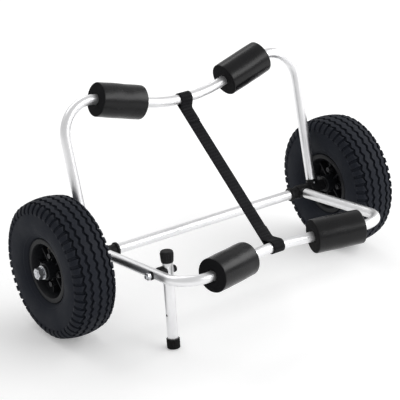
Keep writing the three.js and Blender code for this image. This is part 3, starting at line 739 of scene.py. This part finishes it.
SLEEVE_END, SLEEVE_BORE = 200.8, 8.0
half_sleeve = [(9.5, 0), (9.5, SLEEVE_END - 0.5), (9.0, SLEEVE_END), (8.4, SLEEVE_END),
               (SLEEVE_BORE, SLEEVE_END - 0.4)]
sleeve_ring = mirrored(half_sleeve)
sleeve = turned("axle_sleeve", sleeve_ring + sleeve_ring[:1], TUBE_SIDES)
note_straight(sleeve)
hand_over(smooth(along_axle(sleeve)), tube_metal, "axle_tube")

# %% [markdown]
# The plastic parts on the axle are turned too: a flanged collar that closes the sleeve, a plain spacer
# between the two legs, and a longer one in front of the wheel. Each is made once, on the right.

# %% Collars, spacers and washers
BORE = 6.3


def ring_section(start, end, radius, rounding, hole=BORE):
    """Outline of a plain ring with rounded outer edges."""
    return [(hole, start), *arc((radius - rounding, start + rounding), rounding, -90, 0, 4),
            *arc((radius - rounding, end - rounding), rounding, 0, 90, 4), (hole, end), (hole, start)]


collar_outline = [(BORE, 186.8), (7.2, 186.8), (7.7, 187.4), (7.7, 201.1), *arc((12.3, 202.3), 1.2, -90, 0, 4),
                  *arc((12.7, 205.3), 0.8, 0, 90, 4), *arc((11.6, 206.7), 0.6, -90, -180, 3),
                  *arc((10.4, 218.5), 0.6, 0, 90, 3), (BORE, 219.1), (BORE, 186.8)]
both_sides(smooth(turned("collar", collar_outline)), "axle_collar", plastic, on_axle, "axle_collar_")
for name, material, start, end, radius, rounding in (("axle_spacer", plastic, 239.7, 248.3, 12, 0.9),
                                                     ("wheel_spacer", plastic, 268.9, 284.6, 10.5, 0.9),
                                                     ("wheel_washer", zinc, 359.8, 362.3, 13, 0.5)):
    ring = smooth(turned(name, ring_section(start, end, radius, rounding)))
    both_sides(ring, name, material, on_axle, name + "_")

# %% [markdown]
# A nut holds each wheel. It is turned like the rest, with its faces sloped off towards the corners, and
# then cut down to six sides by a piece of hexagon stock.

# %% Wheel nuts
def hex_nut(name, corner, hole, start, height, chamfer):
    """A six-sided prism turned off at both faces, with a round hole."""
    end = start + height
    face, wide = corner * 0.86, corner + 0.1
    barrel = turned(name, [(hole, start + 0.6), (hole + 0.6, start), (face, start), (wide, start + chamfer),
                           (wide, end - chamfer), (face, end), (hole + 0.6, end), (hole, end - 0.6),
                           (hole, start + 0.6)])
    hexagon = stock(corner, height + 2, 6, (0, 0, (start + end) / 2))
    return smooth(fused(barrel, hexagon, "INTERSECT"), 25)


both_sides(hex_nut("nut", 10.95, 6.1, 362.6, 11, 1.4), "wheel_nut", zinc, on_axle, "wheel_nut_")

# %% [markdown]
# Every leg ends in an eye on the axle rod. The eye is one moulding: a barrel across the axle, and a neck
# that leaves it at a right angle and fills the end of the tube. The two are turned apart and fused.

# %% Leg eyes
barrel_outline = ring_section(-10, 10, 13, 1)
neck_outline = [(0, 9.5), (9.5, 9.5), (9.5, 15.8), (9.1, 16.7), (7.6, 16.7), (7.6, 40), (0, 40)]


def leg_eye(solid, sign, half_span, flare, pitch):
    eye = turned("eye_" + solid, barrel_outline, TUBE_SIDES)
    neck = put(turned("neck", neck_outline, TUBE_SIDES), Matrix.Rotation(-math.pi / 2, 4, "X"))
    put(neck, Matrix.Rotation(-math.radians(flare), 4, "X"))
    eye = fused(eye, neck)
    lay = Matrix.Translation((sign * half_span * MM, 0, 0)) @ Matrix.Rotation(sign * math.pi / 2, 4, "Y")
    put(eye, in_frame(pitch) @ lay)
    hand_over(smooth(eye, 50), plastic, solid)


for side, sign in SIGNS.items():
    leg_eye("front_leg_plug_" + side, sign, FRONT_SPAN, FRONT_FLARE, front_pitch)
    leg_eye("back_leg_eye_" + side, sign, BACK_SPAN, BACK_FLARE, back_pitch)

# %% [markdown]
# A small pin runs through the neck of each back eye. Its head stands just below the end of the tube, and
# it is turned once and copied to both faces of both legs.

# %% Pins of the back eyes
PIN_UP, PIN_OUT = 11.0, 9.3
pin_outline = [(0, 0), (1.9, 0), (1.9, 0.4), (1.6, 0.8), (1.0, 1.05), (0, 1.15)]
pin_head = smooth(turned("eye_pin", pin_outline, 20))
for side, sign in SIGNS.items():
    across = sign * (BACK_SPAN + PIN_UP * math.tan(math.radians(BACK_FLARE)))
    for face, flip in (("front", 0.0), ("rear", math.pi)):
        made = copy_of(pin_head, "back_eye_pin_" + side + "_" + face)
        seat = Matrix.Translation((across * MM, PIN_UP * MM, 0)) @ Matrix.Rotation(flip, 4, "X")
        put(made, in_frame(back_pitch) @ seat @ Matrix.Translation((0, 0, PIN_OUT * MM)))
        hand_over(made, zinc, "axle_rod", body="back_frame", replaces=False)
drop(pin_head)

# %% [markdown]
# The tyre starts as one closed section: bead, sidewall, shoulder, tread and lining. It is spun in ten
# steps for each lug, so that the faces of a slot can be picked out round the tyre.

# %% Tyre skin
LUG_COUNT, STEPS_PER_LUG = 48, 10
CROWN_RADIUS = 112.0


def crown(along):
    """Radius of the tread at a distance from its middle."""
    return tyre_radius - along ** 2 / (2 * CROWN_RADIUS)


sidewall = [(60.4, 27.5), (61.6, 30.6), (64.0, 33.2), (67.2, 35.6), (68.6, 37.0), (70.0, 37.0), (71.6, 38.2),
            (77.0, 40.3), (84.0, 41.6), (92.0, 42.0), (100.0, 41.6), (105.5, 40.9), (107.6, 40.6),
            (108.6, 41.3), (110.0, 42.2), (112.5, 42.1), (115.5, 41.0), (118.5, 39.3), (121.2, 37.4),
            (123.3, 35.6)]
across_tread = [34.0, 31.0, 29.0, 27.0, 23.1, 19.2, 16.5, 13.8, 8.2, 2.7, 0.0]
tread = [(crown(along), along) for along in across_tread]
half_lining = [(51.4, 27.4), (51.4, 21.5), (60.0, 23.0), (74.0, 35.5), (94.0, 38.0), (108.0, 34.0),
               (117.0, 22.0), (119.0, 0.0)]
skin, lining = mirrored(sidewall + tread, shared=1), mirrored(half_lining, shared=1)
tyre = turned("tyre", skin + list(reversed(lining)) + skin[:1], LUG_COUNT * STEPS_PER_LUG)
print("tyre skin", len(tyre.data.vertices), "points")

# %% [markdown]
# Five rings between the ribs, and a slot between every two shoulder lugs, are pressed in along their
# normals. The faces are picked out by their place: by how far they are from the middle of the tread,
# and by how far round their lug they are.

# %% Tyre grooves and lugs
GROOVES = {-29.0: 2.0, -16.5: 2.7, 0.0: 2.7, 16.5: 2.7, 29.0: 2.0}   # middle of each and half its width
TREAD_FROM = 124   # the radius that only the faces of the tread are beyond
SHOULDER_LOW, SHOULDER_HIGH, SHOULDER_OUT = 107.9, 126, 31.0
SLOT_SHARE = 0.36   # of the length of a lug


def phase(place):
    """How far round its lug a point is, from 0 to 1."""
    return math.atan2(place.y, place.x) / (2 * math.pi) * LUG_COUNT % 1.0


def radius_of(place):
    return math.hypot(place.x, place.y) / MM


def faces_out(face, centre):
    return face.normal.dot(Vector((centre.x, centre.y, centre.z * 2))) > 0


def in_groove(face):
    centre = face.calc_center_median()
    near = any(abs(centre.z / MM - middle) < half for middle, half in GROOVES.items())
    return near and radius_of(centre) > TREAD_FROM and faces_out(face, centre)


def in_slot(face):
    centre = face.calc_center_median()
    stagger = 0.5 if centre.z < 0 else 0.0
    on_shoulder = SHOULDER_LOW < radius_of(centre) < SHOULDER_HIGH and SHOULDER_OUT < abs(centre.z) / MM
    return on_shoulder and faces_out(face, centre) and (phase(centre) + stagger) % 1.0 < SLOT_SHARE


def move_faces(piece, chosen, distance):
    """Moves the faces that a test picks out along their normals, with a wall round them."""
    edit(piece)
    bpy.ops.mesh.select_all(action="DESELECT")
    sheet = bmesh.from_edit_mesh(piece.data)
    for face in sheet.faces:
        face.select = chosen(face)
    count = sum(face.select for face in sheet.faces)
    bmesh.update_edit_mesh(piece.data)
    bpy.ops.mesh.extrude_region_shrink_fatten(TRANSFORM_OT_shrink_fatten={"value": distance * MM})
    let_go()
    print("moved", count, "faces of", piece.name)


move_faces(tyre, in_groove, -4.2)
move_faces(tyre, in_slot, -3.2)

# %% [markdown]
# The edges of the ribs are zigzags. The whole tread, with the walls and floors of its grooves, is swung
# from side to side once for each lug, and the swing dies away down the shoulder.

# %% Tyre zigzag
ZIGZAG, ZIGZAG_FROM = 2.1, 119.5   # the swing, and the radius beyond which it applies
ZIGZAG_END, ZIGZAG_FADE = 36, 4   # where it has died away, and over what length
for vertex in tyre.data.vertices:
    along = vertex.co.z / MM
    if radius_of(vertex.co) > ZIGZAG_FROM and abs(along) < ZIGZAG_END:
        share = min(1.0, (ZIGZAG_END - abs(along)) / ZIGZAG_FADE)
        swing = ZIGZAG * (1 - 4 * abs(phase(vertex.co) - 0.5)) * share
        moved = crown(along + swing) / crown(along)
        vertex.co = (vertex.co.x * moved, vertex.co.y * moved, vertex.co.z + swing * MM)
both_sides(smooth(rounded(tyre, 0.5, 1, 35), 45), "tyre_dressed", tyre_rubber, on_wheel, "tyre_")

# %% [markdown]
# Inside the tyre lies the inner tube. Nothing of it shows, but it is there when the wheel is taken
# apart: a soft ring whose section nearly fills the lining.

# %% Inner tube
INNER_MIDDLE, INNER_HIGH, INNER_WIDE = 88.0, 26.3, 34.5
turns = [2 * math.pi * i / 20 for i in range(21)]
inner_outline = [(INNER_MIDDLE + INNER_HIGH * math.cos(t), INNER_WIDE * math.sin(t)) for t in turns]
inner = turned("inner_tube_dressed", inner_outline, 64)
both_sides(smooth(inner, 60), "inner_tube_dressed", foot_rubber, on_wheel, "inner_tube_")

# %% [markdown]
# Each rim half is a turned dish with a rolled lip, a barrel wall, a flat web and a hub. Eight ribs and
# four bolt bosses are added to it as solids of their own and fused with a boolean.

# %% Rim half
rim_outline = [(9.3, 0.15), (50.7, 0.15), (50.7, 27.6), *arc((51.9, 26.6), 1.2, 180, 90, 3)[1:], (57.6, 27.8),
               *arc((58.4, 29.4), 1.6, -90, 70, 7), (56.5, 31.0), (53.2, 31.1),
               *arc((52.2, 29.4), 1.7, 80, 170, 5), (49.2, 27.2), (47.6, 21.0), (45.2, 12.0),
               *arc((41.0, 9.6), 3.0, 10, -80, 5), (30.0, 6.2), *arc((19.4, 9.6), 3.4, -90, -180, 5),
               (16.0, 33.2), *arc((14.8, 33.8), 1.2, 0, 90, 4), (9.3, 35.0), (9.3, 0.15)]
rim = turned("rim_half", rim_outline, 96)

RIB_INNER, RIB_OUTER, RIB_THICKNESS, RIB_FOOT, RIB_FACE = 13.0, 45.0, 3.0, 4.0, 19.0
ribs = []
for index in range(8):
    let_go()
    middle = ((RIB_INNER + RIB_OUTER) / 2 * MM, 0, (RIB_FACE + RIB_FOOT) / 2 * MM)
    bpy.ops.mesh.primitive_cube_add(size=1, location=middle)
    rib = bpy.context.object
    rib.scale = ((RIB_OUTER - RIB_INNER) * MM, RIB_THICKNESS * MM, (RIB_FACE - RIB_FOOT) * MM)
    rib = rounded(fix_place(rib), 0.7, 3)
    ribs.append(put(rib, Matrix.Rotation(index * math.pi / 4, 4, "Z")))
rim = fused(rim, joined(ribs, "ribs"))

BOSS_CIRCLE, BOSS_FACE = 27.5, 20.5


def at_boss(index):
    """The place of one of the four bolts on their circle."""
    quarter = Matrix.Rotation(index * math.pi / 2 + math.pi / 2, 4, "Z")
    return quarter @ Matrix.Translation((BOSS_CIRCLE * MM, 0, 0))


boss_outline = [(0, 3), (6, 3), *arc((5.3, BOSS_FACE - 0.7), 0.7, 0, 90, 3), (0, BOSS_FACE)]
bosses = [put(turned("boss", boss_outline, 24), at_boss(index)) for index in range(4)]
rim = fused(rim, joined(bosses, "bosses"))
print("rim half", len(rim.data.vertices), "points")

# %% [markdown]
# The two halves are the same moulding and face each other on the split line. Only the outer one has a
# hole for the valve, drilled through its barrel wall.

# %% Rims
inward = Matrix.Rotation(math.pi, 4, "X")
rim_back = put(copy_of(rim, "rim_inner_dressed"), inward)
VALVE_UP = 13
valve_turn = Matrix.Rotation(math.radians(202.5), 4, "Z")
valve_hole = put(stock(3.9, 30, 24, (44, 0, VALVE_UP), (0, math.pi / 2, 0)), valve_turn)
rim = fused(rim, valve_hole, "DIFFERENCE")
both_sides(smooth(rim, 35), "rim_outer_dressed", rim_plastic, on_wheel, "rim_outer_")
both_sides(smooth(rim_back, 35), "rim_inner_dressed", rim_plastic, on_wheel, "rim_inner_")

# %% [markdown]
# The bolts have six-sided heads on thin washers. One head is made and copied to both faces of the rim.
# Each of the four places has its heads turned to an angle of its own, because bolts are never all done
# up alike.

# %% Rim bolts
bolt_head = hex_nut("rim_bolt_head", 5.6, 0.3, BOSS_FACE + 0.2, 3.6, 0.6)
washer_top = BOSS_FACE + 0.5
washer_outline = [(0, BOSS_FACE), (5.2, BOSS_FACE), (5.2, washer_top), (0, washer_top)]
bolt_washer = turned("rim_bolt_washer", washer_outline, 24)
rim_bolt = joined([bolt_head, bolt_washer], "rim_bolt")
for index in range(4):
    for face, flip in (("outer", Matrix()), ("inner", inward)):
        name = "rim_bolt_" + face + "_" + str(index)
        made = put(copy_of(rim_bolt, name), flip @ at_boss(index) @ Matrix.Rotation(index * 1.3, 4, "Z"))
        both_sides(smooth(made), name, black_zinc, on_wheel, "wheel_washer_", "_wheel", replaces=False)
drop(rim_bolt)

# %% [markdown]
# A bush is pressed into the hub from each side and runs on the axle rod. Its flange stands between the
# hub and what comes next on the rod.

# %% Wheel bushes
bush_outline = [(BORE, 11.0), (8.9, 11.0), (8.9, 35.3), *arc((11.9, 35.9), 0.6, -90, 0, 3),
                *arc((11.6, 36.4), 0.9, 0, 90, 4), (BORE, 37.3), (BORE, 11.0)]
bush = smooth(turned("bush", bush_outline, 40))
bush_back = put(copy_of(bush, "bush_back"), inward)
both_sides(bush, "wheel_bush_outer_dressed", plastic, on_wheel, "wheel_bush_outer_")
both_sides(bush_back, "wheel_bush_inner_dressed", plastic, on_wheel, "wheel_bush_inner_")

# %% [markdown]
# The valve comes out of the barrel between two ribs and points at the hub. Its stem is brass with a fine
# thread, and a plain black cap is screwed on its tip.

# %% Valves
stem_thread = [(radius - 0.6, height) for radius, height in threaded(3.2, 31.8, 44, 1.0, 0.3)]
stem_outline = [(0, 31.5), (2.0, 31.5), *stem_thread, (3.4, 45), (3.4, 57.5), (0, 57.5)]
to_valve = valve_turn @ Matrix.Translation((0, 0, VALVE_UP * MM)) @ lie_along_x
stem = put(turned("valve_stem_dressed", stem_outline, 24), to_valve)
both_sides(smooth(stem), "valve_stem_dressed", brass, on_wheel, "valve_stem_")
cap_outline = [(0, 28.0), *arc((3.0, 29.2), 1.2, -90, 0, 4), (4.1, 38.0), (3.2, 38.2), (0, 38.2)]
valve_cap = put(turned("valve_cap", cap_outline, 24), to_valve)
both_sides(smooth(valve_cap), "valve_cap", plastic, on_wheel, "valve_stem_", replaces=False)

# %% [markdown]
# The four pads are foam sleeves pushed over the crossbars. Each is turned with a slightly barrelled
# side, well rounded ends and a shallow dish round the tube, then given a few soft dents.

# %% Section of a pad
PAD_HALF, PAD_RADIUS, PAD_BORE, PAD_ROUND, PAD_SWELL = 47.5, 31.6, 9.6, 2.2, 0.4
steps = [-1 + 2 * i / 12 for i in range(13)]
side_line = [(PAD_RADIUS + PAD_SWELL * (1 - s * s), s * (PAD_HALF - PAD_ROUND)) for s in steps]
near_end = arc((PAD_RADIUS - PAD_ROUND, PAD_ROUND - PAD_HALF), PAD_ROUND, -90, -8, 6)
far_end = arc((PAD_RADIUS - PAD_ROUND, PAD_HALF - PAD_ROUND), PAD_ROUND, 8, 90, 6)
pad_outline = [(PAD_BORE, 0.4 - PAD_HALF), (PAD_BORE + 0.4, -PAD_HALF), (16, 0.15 - PAD_HALF),
               (23, -PAD_HALF + 0.1), *near_end, *side_line, *far_end, (23, PAD_HALF - 0.1),
               (16, PAD_HALF - 0.15), (PAD_BORE + 0.4, PAD_HALF), (PAD_BORE, PAD_HALF - 0.4),
               (PAD_BORE, 0.4 - PAD_HALF)]
print("pad section", len(pad_outline), "points")

# %% [markdown]
# Foam is soft, so no two sleeves are quite alike: a broad noise, with a seed for each pad, moves the side
# in and out by a few tenths of a millimetre. The skin and the cut ends are two finishes on one mesh.

# %% Foam pads
DENT, DENT_WIDTH = 0.55 * MM, 26 * MM


def foam_pad(name, seed):
    pad = turned(name, pad_outline, 64)
    for vertex in pad.data.vertices:
        radius = math.hypot(vertex.co.x, vertex.co.y)
        if radius > 14 * MM:   # the bore stays true on the tube
            swell = noise.noise(vertex.co / DENT_WIDTH + Vector((seed, 0, 0))) * DENT
            vertex.co.x *= 1 + swell / radius
            vertex.co.y *= 1 + swell / radius
    return smooth(pad, 60)


for name, pitch, tilt in (("front", front_pitch, FRONT_SLOPE), ("back", back_pitch, BACK_SLOPE)):
    for side, sign in SIGNS.items():
        solid = name + "_pad_" + side
        low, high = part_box(solid)
        centre = in_frame(pitch).inverted() @ ((low + high) / 2)
        seat = Matrix.Translation((centre.x, centre.y, 0)) @ Matrix.Rotation(sign * math.radians(tilt), 4, "Z")
        place = in_frame(pitch) @ seat @ lie_along_x
        pad = put(foam_pad("foam_" + solid, sign * 3.1 + pitch), place)
        hand_over(pad, pad_foam, solid)
        pad.data.materials.append(cut_foam)
        axis = place.to_3x3() @ Vector((0, 0, 1))
        for face in pad.data.polygons:
            face.material_index = int(abs(face.normal.dot(axis)) > 0.8)

# %% [markdown]
# The strap is flat webbing. A line of points is extruded sideways into a ribbon and given its thickness.
# The weave follows an attribute that says where each point lies on the flat band, across and along.

# %% Ribbon helper
STRAP_HALF, STRAP_THICK = 12.5, 1.8
STRAP_STRIPS = 4


def ribbon(name, path):
    """A flat band along a path of (x, y) in mm, its width along Z, centred on the path."""
    band = drawn_line(name, [(x, y, -STRAP_HALF) for x, y in path])
    strip = {"value": (0, 0, 2 * STRAP_HALF / STRAP_STRIPS * MM)}
    for _ in range(STRAP_STRIPS):
        bpy.ops.mesh.extrude_region_move(TRANSFORM_OT_translate=strip)
    fix_place(band)
    lengths = [math.dist(here, there) for here, there in zip(path, path[1:])]
    marks_along = [(spot, sum(lengths[:index])) for index, spot in enumerate(path)]

    def on_flat_band(point):
        spot = (point.x / MM, point.y / MM)
        return point.z, min(marks_along, key=lambda mark: math.dist(mark[0], spot))[1] * MM, 0

    note_straight(band, on_flat_band)
    apply_modifier(band, "SOLIDIFY", thickness=STRAP_THICK * MM, offset=0, use_even_offset=True)
    edit(band)
    bpy.ops.mesh.normals_make_consistent(inside=False)
    return smooth(rounded(band, 0.45, 2, 50), 50)


# %% [markdown]
# At each crossbar the strap wraps the tube, comes back on itself and is sewn down. The loop is drawn
# from the side: in along the under layer, round the tube, and out along the layer that is sewn on top.

# %% Strap loops
WRAP = 11.3   # from the middle of a crossbar to the middle of the webbing
SEWN_TO, LOOP_TIP = 48.0, 46.9
UNDER = WRAP - STRAP_THICK


def loop_path(merge_at):
    """The side line of a loop whose two layers meet at a distance from the crossbar."""
    far = math.hypot(merge_at, UNDER)
    leave = math.degrees(math.atan2(UNDER, merge_at) - math.acos(WRAP / far))
    round_bar = arc((0, 0), WRAP, 90, 360 + leave, 30)
    return [(LOOP_TIP, WRAP), (36, WRAP), (24, WRAP), (12, WRAP), *round_bar, (merge_at - 4, UNDER - 1.6),
            (merge_at - 1, UNDER - 0.25), (merge_at + 2, UNDER), (38, UNDER), (SEWN_TO - 2, UNDER),
            (SEWN_TO, UNDER + 0.3)]


front_bar, back_bar = up_the_frame(front_pitch, front_apex), up_the_frame(back_pitch, back_apex)
run = (front_bar - back_bar).normalized()
below = Vector((0, -run.z, run.y))


def along_strap(bar, forwards):
    """Takes a piece drawn from the side to a crossbar, with its x pointing along the strap."""
    turn = Matrix((forwards, below, forwards.cross(below))).transposed().to_4x4()
    return Matrix.Translation(bar) @ turn


strap_ends = {"front": along_strap(front_bar, -run), "back": along_strap(back_bar, run)}
for name, merge_at in (("front", 27), ("back", 20)):
    loop = put(ribbon("strap_wrap_" + name, loop_path(merge_at)), strap_ends[name])
    hand_over(loop, webbing, "strap_loop_" + name)
span = (front_bar - back_bar).length / MM
print("strap span", round(span, 1))

# %% [markdown]
# The band between the loops crosses the fold of the two frames, and it rides on neither body. Its path is
# made of many short steps.

# %% Strap band
BAND_START, BAND_STEPS = 47.1, 40
band_length = span - 2 * BAND_START
band_path = [(BAND_START + band_length * i / BAND_STEPS, WRAP) for i in range(BAND_STEPS + 1)]
band = put(ribbon("strap_middle", band_path), strap_ends["back"])
band.data.materials.clear()
band.data.materials.append(webbing)
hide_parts("strap_band")
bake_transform(band)
print("strap band", round(band_length, 1), "mm long")

# %% [markdown]
# Thread holds the layers together: a box of stitches with a cross row at each end. One stitch is a short
# rounded grain; it is modelled once, copied along the rows and joined to one piece for each loop.

# %% Stitches
stitches = [(x, z, math.pi / 2) for x in (30.0, 45.0) for z in (-9, -6, -3, 0, 3, 6, 9)]
stitches += [(x, z, 0) for z in (-10.6, 10.6) for x in (31.5, 34.5, 37.5, 40.5, 43.5)]
let_go()
bpy.ops.mesh.primitive_uv_sphere_add(segments=8, ring_count=5, radius=0.5 * MM)
bpy.ops.transform.resize(value=(2.6, 0.7, 0.9))
stitch = fix_place(bpy.context.object)
for name, place in strap_ends.items():
    grains = []
    for x, z, turn in stitches:
        seat = Matrix.Translation((x * MM, (WRAP - 1.5 * STRAP_THICK) * MM, z * MM))
        grains.append(put(copy_of(stitch, "stitch"), seat @ Matrix.Rotation(turn, 4, "Y")))
    seam = put(joined(grains, "strap_seam_" + name), place)
    hand_over(smooth(seam, 60), thread, "strap_loop_" + name, replaces=False)
drop(stitch)

# %% [markdown]
# The stand swings on a bolt through the left front leg. Everything of it is turned about the stand's own
# upright line, and then leant back by a few degrees on its pivot.

# %% Stand tube
STAND_LEAN = math.radians(3.97)
PIVOT_REACH = 167.5
FOOT_EDGE = 12.2    # from the stand's line to the edge of the foot that it stands on
FOOT_WALL = 4.0
STAND_TOP = 35.7
PIN_DOWN = 84       # below the pivot
tube_low, tube_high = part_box("stand_tube")
pivot = up_the_frame(front_pitch, PIVOT_REACH)
pivot.x = (tube_low.x + tube_high.x) / 2
on_stand = Matrix.Translation(pivot) @ Matrix.Rotation(-STAND_LEAN, 4, "X")
sole = -(pivot.z / MM - FOOT_EDGE * math.sin(STAND_LEAN)) / math.cos(STAND_LEAN)
tube_bottom = sole + FOOT_WALL + 0.3
print("stand pivot", tuple(round(c, 4) for c in pivot), "sole", round(sole, 2))

stand_section = [(8.5, tube_bottom), (9.7, tube_bottom), (10, tube_bottom + 0.4), (10, STAND_TOP - 0.4),
                 (9.7, STAND_TOP), (8.5, STAND_TOP), (8.5, tube_bottom)]
stand_tube = turned("stand_pipe", stand_section, TUBE_SIDES)
for radius, height in ((4.3, 0), (2.5, -PIN_DOWN)):
    drill = stock(radius, 60, 32, (0, 0, height), (0, math.pi / 2, 0))
    stand_tube = fused(stand_tube, drill, "DIFFERENCE")
note_straight(stand_tube)
hand_over(smooth(put(stand_tube, on_stand)), tube_metal, "stand_tube")
pin = turned("spring_pin", [(0, -10.6), (1.4, -10.5), (2.2, -9.6), (2.2, 8.0), (0, 8.0)], 20)
put(pin, on_stand @ Matrix.Translation((0, 0, -PIN_DOWN * MM)) @ lie_along_x)
hand_over(smooth(pin), plastic, "stand_tube", replaces=False)

# %% [markdown]
# The grip cap and the foot are ribbed mouldings. Each is turned with two flanks for every rib, and every
# second flank is pulled out, which leaves soft ribs between narrow valleys.

# %% Stand cap and foot
RIB_COUNT = 16


def ribbed(name, outline, low, high, depth):
    """Turns an outline and pulls ribs out of its wall between two heights."""
    def on_rib(face):
        centre = face.calc_center_median()
        turns = math.atan2(centre.y, centre.x) / (2 * math.pi) * RIB_COUNT
        outward = face.normal.dot(Vector((centre.x, centre.y, 0))) > 0 and abs(face.normal.z) < 0.5
        return outward and low < centre.z / MM < high and turns % 1.0 < 0.5

    body = turned(name, outline, RIB_COUNT * 2)
    move_faces(body, on_rib, depth)
    return smooth(rounded(body, 0.35, 2, 25))


cap_top = STAND_TOP + 1.6
cap_bottom = cap_top - 21.5
cap_section = [(0, cap_top), (6.5, cap_top - 0.1), *arc((9.6, cap_top - 2.1), 1.9, 80, 0, 4),
               (11.9, cap_top - 4.2), (10.9, cap_bottom + 2.0), (11.0, cap_bottom + 0.8),
               (10.8, cap_bottom + 0.2), (10.3, cap_bottom), (10.2, STAND_TOP + 0.3), (0, STAND_TOP + 0.3)]
cap = ribbed("stand_grip", cap_section, cap_bottom + 2.1, cap_top - 4.1, 0.55)
hand_over(put(cap, on_stand), plastic, "stand_top_cap")

foot_top = sole + 18
foot_section = [(0, sole), (10.6, sole), *arc((10.9, sole + 1.2), 1.2, -80, 0, 4),
                (11.3, sole + 2.4), (11.3, foot_top - 2.6), (12.1, foot_top - 2.2), (12.1, foot_top - 0.5),
                (11.6, foot_top), (10.4, foot_top), (10.4, sole + FOOT_WALL), (0, sole + FOOT_WALL)]
foot = ribbed("stand_shoe", foot_section, sole + 2.5, foot_top - 2.7, 0.8)
hand_over(put(foot, on_stand), foot_rubber, "stand_foot")

# %% [markdown]
# Three saddles sit between the round tubes and the flat faces of the clamp. Each is a turned disc with
# the tube cut out of it, so it fits its tube all the way across.

# %% Clamp saddles
clamp_axis = Matrix.Translation((0, pivot.y, pivot.z)) @ lie_along_x
leg_across = FRONT_SPAN + PIVOT_REACH * math.tan(math.radians(FRONT_FLARE))
leg_middle = Vector((-leg_across * MM, pivot.y, pivot.z))
on_leg = Matrix.Translation(leg_middle) @ Matrix.Rotation(front_pitch - math.pi, 4, "X")
for name, solid, start, end, radius in (("leg_saddle", "stand_leg_saddle", -224.3, -217.23, 10.5),
                                        ("outer_saddle", "stand_outer_saddle", -241.9, -237.4, 8.0),
                                        ("tube_saddle", "stand_tube_saddle", -216.9, -209.5, 10.5)):
    saddle = put(turned(name, ring_section(start, end, radius, 0.8, hole=4.3)), clamp_axis)
    if name == "tube_saddle":
        cutter = put(stock(10.3, 80), on_stand)
    else:
        cutter = put(stock(9.8, 80, turn=(math.pi / 2, 0, 0)), on_leg)
    hand_over(smooth(fused(saddle, cutter, "DIFFERENCE")), plastic, solid)
print("clamp saddles round the leg at", tuple(round(c, 4) for c in leg_middle))

# %% [markdown]
# One long bolt holds the clamp together. Its nut is outside the leg, and its head on the other side of
# the stand is covered by a round cap, which is turned as a shell.

# %% Clamp bolt
nut = put(hex_nut("clamp_nut", 6.9, 4.1, -248.7, 6.5, 0.9), clamp_axis)
hand_over(nut, zinc, "stand_nut")
bolt_section = [(0, -251.7), (3.2, -251.7), (3.9, -250.9), (3.9, -193.3), (5.4, -193.3), (5.4, -189.6),
                (5.0, -189.3), (0, -189.3)]
bolt = put(turned("clamp_bolt", bolt_section, 32), clamp_axis)
hand_over(smooth(bolt), zinc, "stand_bolt")
bolt_cap_section = [(5.6, -193.2), (6.4, -193.2), (6.6, -192.9), (6.6, -190.0),
                    *arc((4.4, -189.4), 2.2, -15, 80, 6), (2.0, -187.1), (0, -187.0), (0, -189.0),
                    (5.6, -189.0), (5.6, -193.2)]
bolt_cap = put(turned("clamp_bolt_cap", bolt_cap_section, 40), clamp_axis)
hand_over(smooth(bolt_cap), plastic, "stand_bolt_cap")

# %% [markdown]
# Floor and light. The floor is a pale sheet and the light comes from two wide soft boxes, one from the
# side and one from behind, with an even grey from all round.

# %% Soft boxes
def soft_box(name, azimuth, elevation, distance, size, power):
    """An area lamp that looks at the cart from a direction in degrees."""
    lamp = bpy.data.lights.new(name, "AREA")
    lamp.shape = "RECTANGLE"
    lamp.size, lamp.size_y = size
    lamp.energy = power
    a, e = math.radians(azimuth), math.radians(elevation)
    away = Vector((math.sin(a) * math.cos(e), -math.cos(a) * math.cos(e), math.sin(e)))
    holder = bpy.data.objects.new(name, lamp)
    holder.location = look_at + away * distance
    holder.rotation_mode = "QUATERNION"
    holder.rotation_quaternion = (-away).to_track_quat("-Z", "Y")
    bpy.context.scene.collection.objects.link(holder)


soft_box("side soft box", 60, 30, 3.5, (6.0, 1.5), 105)
soft_box("back soft box", 185, 50, 3.2, (3.0, 0.9), 20)
print("lamps:", len(bpy.data.lights))

# %% [markdown]
# The photograph's background is white. Brighter lamps would wash the cart out, so the world and the floor
# only look brighter to the camera and in reflections. What lights the cart from all round stays a grey.

# %% World and floor
def seen_light(tree, plain, added):
    """A strength that is higher for what the camera, a reflection or a clear thing sees."""
    ray = node(tree, "ShaderNodeLightPath").outputs
    seen = calculated(tree, "ADD", ray["Is Camera Ray"], ray["Is Glossy Ray"])
    seen = calculated(tree, "ADD", seen, ray["Is Transmission Ray"])
    return calculated(tree, "ADD", calculated(tree, "MULTIPLY", seen, added), plain)


world = bpy.data.worlds.new("studio")
world.use_nodes = True
sky = world.node_tree.nodes["Background"]
sky.inputs["Color"].default_value = (1, 1, 1, 1)
world.node_tree.links.new(seen_light(world.node_tree, 0.50, 0.16), sky.inputs["Strength"])
bpy.context.scene.world = world

let_go()
bpy.ops.mesh.primitive_plane_add(size=60, location=(0, 0, 0))
floor = bpy.context.object
floor.name = "floor"
paper = bpy.data.materials.new("pale paper")
paper.use_nodes = True
tree = paper.node_tree
shader = tree.nodes["Principled BSDF"].inputs
for socket, value in (("Base Color", (0.92, 0.92, 0.92, 1)), ("Roughness", 0.9), ("Specular IOR Level", 0.1),
                      ("Emission Color", (1, 1, 1, 1))):
    shader[socket].default_value = value
tree.links.new(seen_light(tree, 0.0, 0.25), shader["Emission Strength"])
floor.data.materials.append(paper)
floor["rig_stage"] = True

# %% [markdown]
# Last, the box of the dressed cart is set beside the box of the solids in one table.

# %% Boxes of the solids and the dressed cart
size = {"cad": [list(corner) for corner in cad_box], "visual": [list(corner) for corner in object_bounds()]}
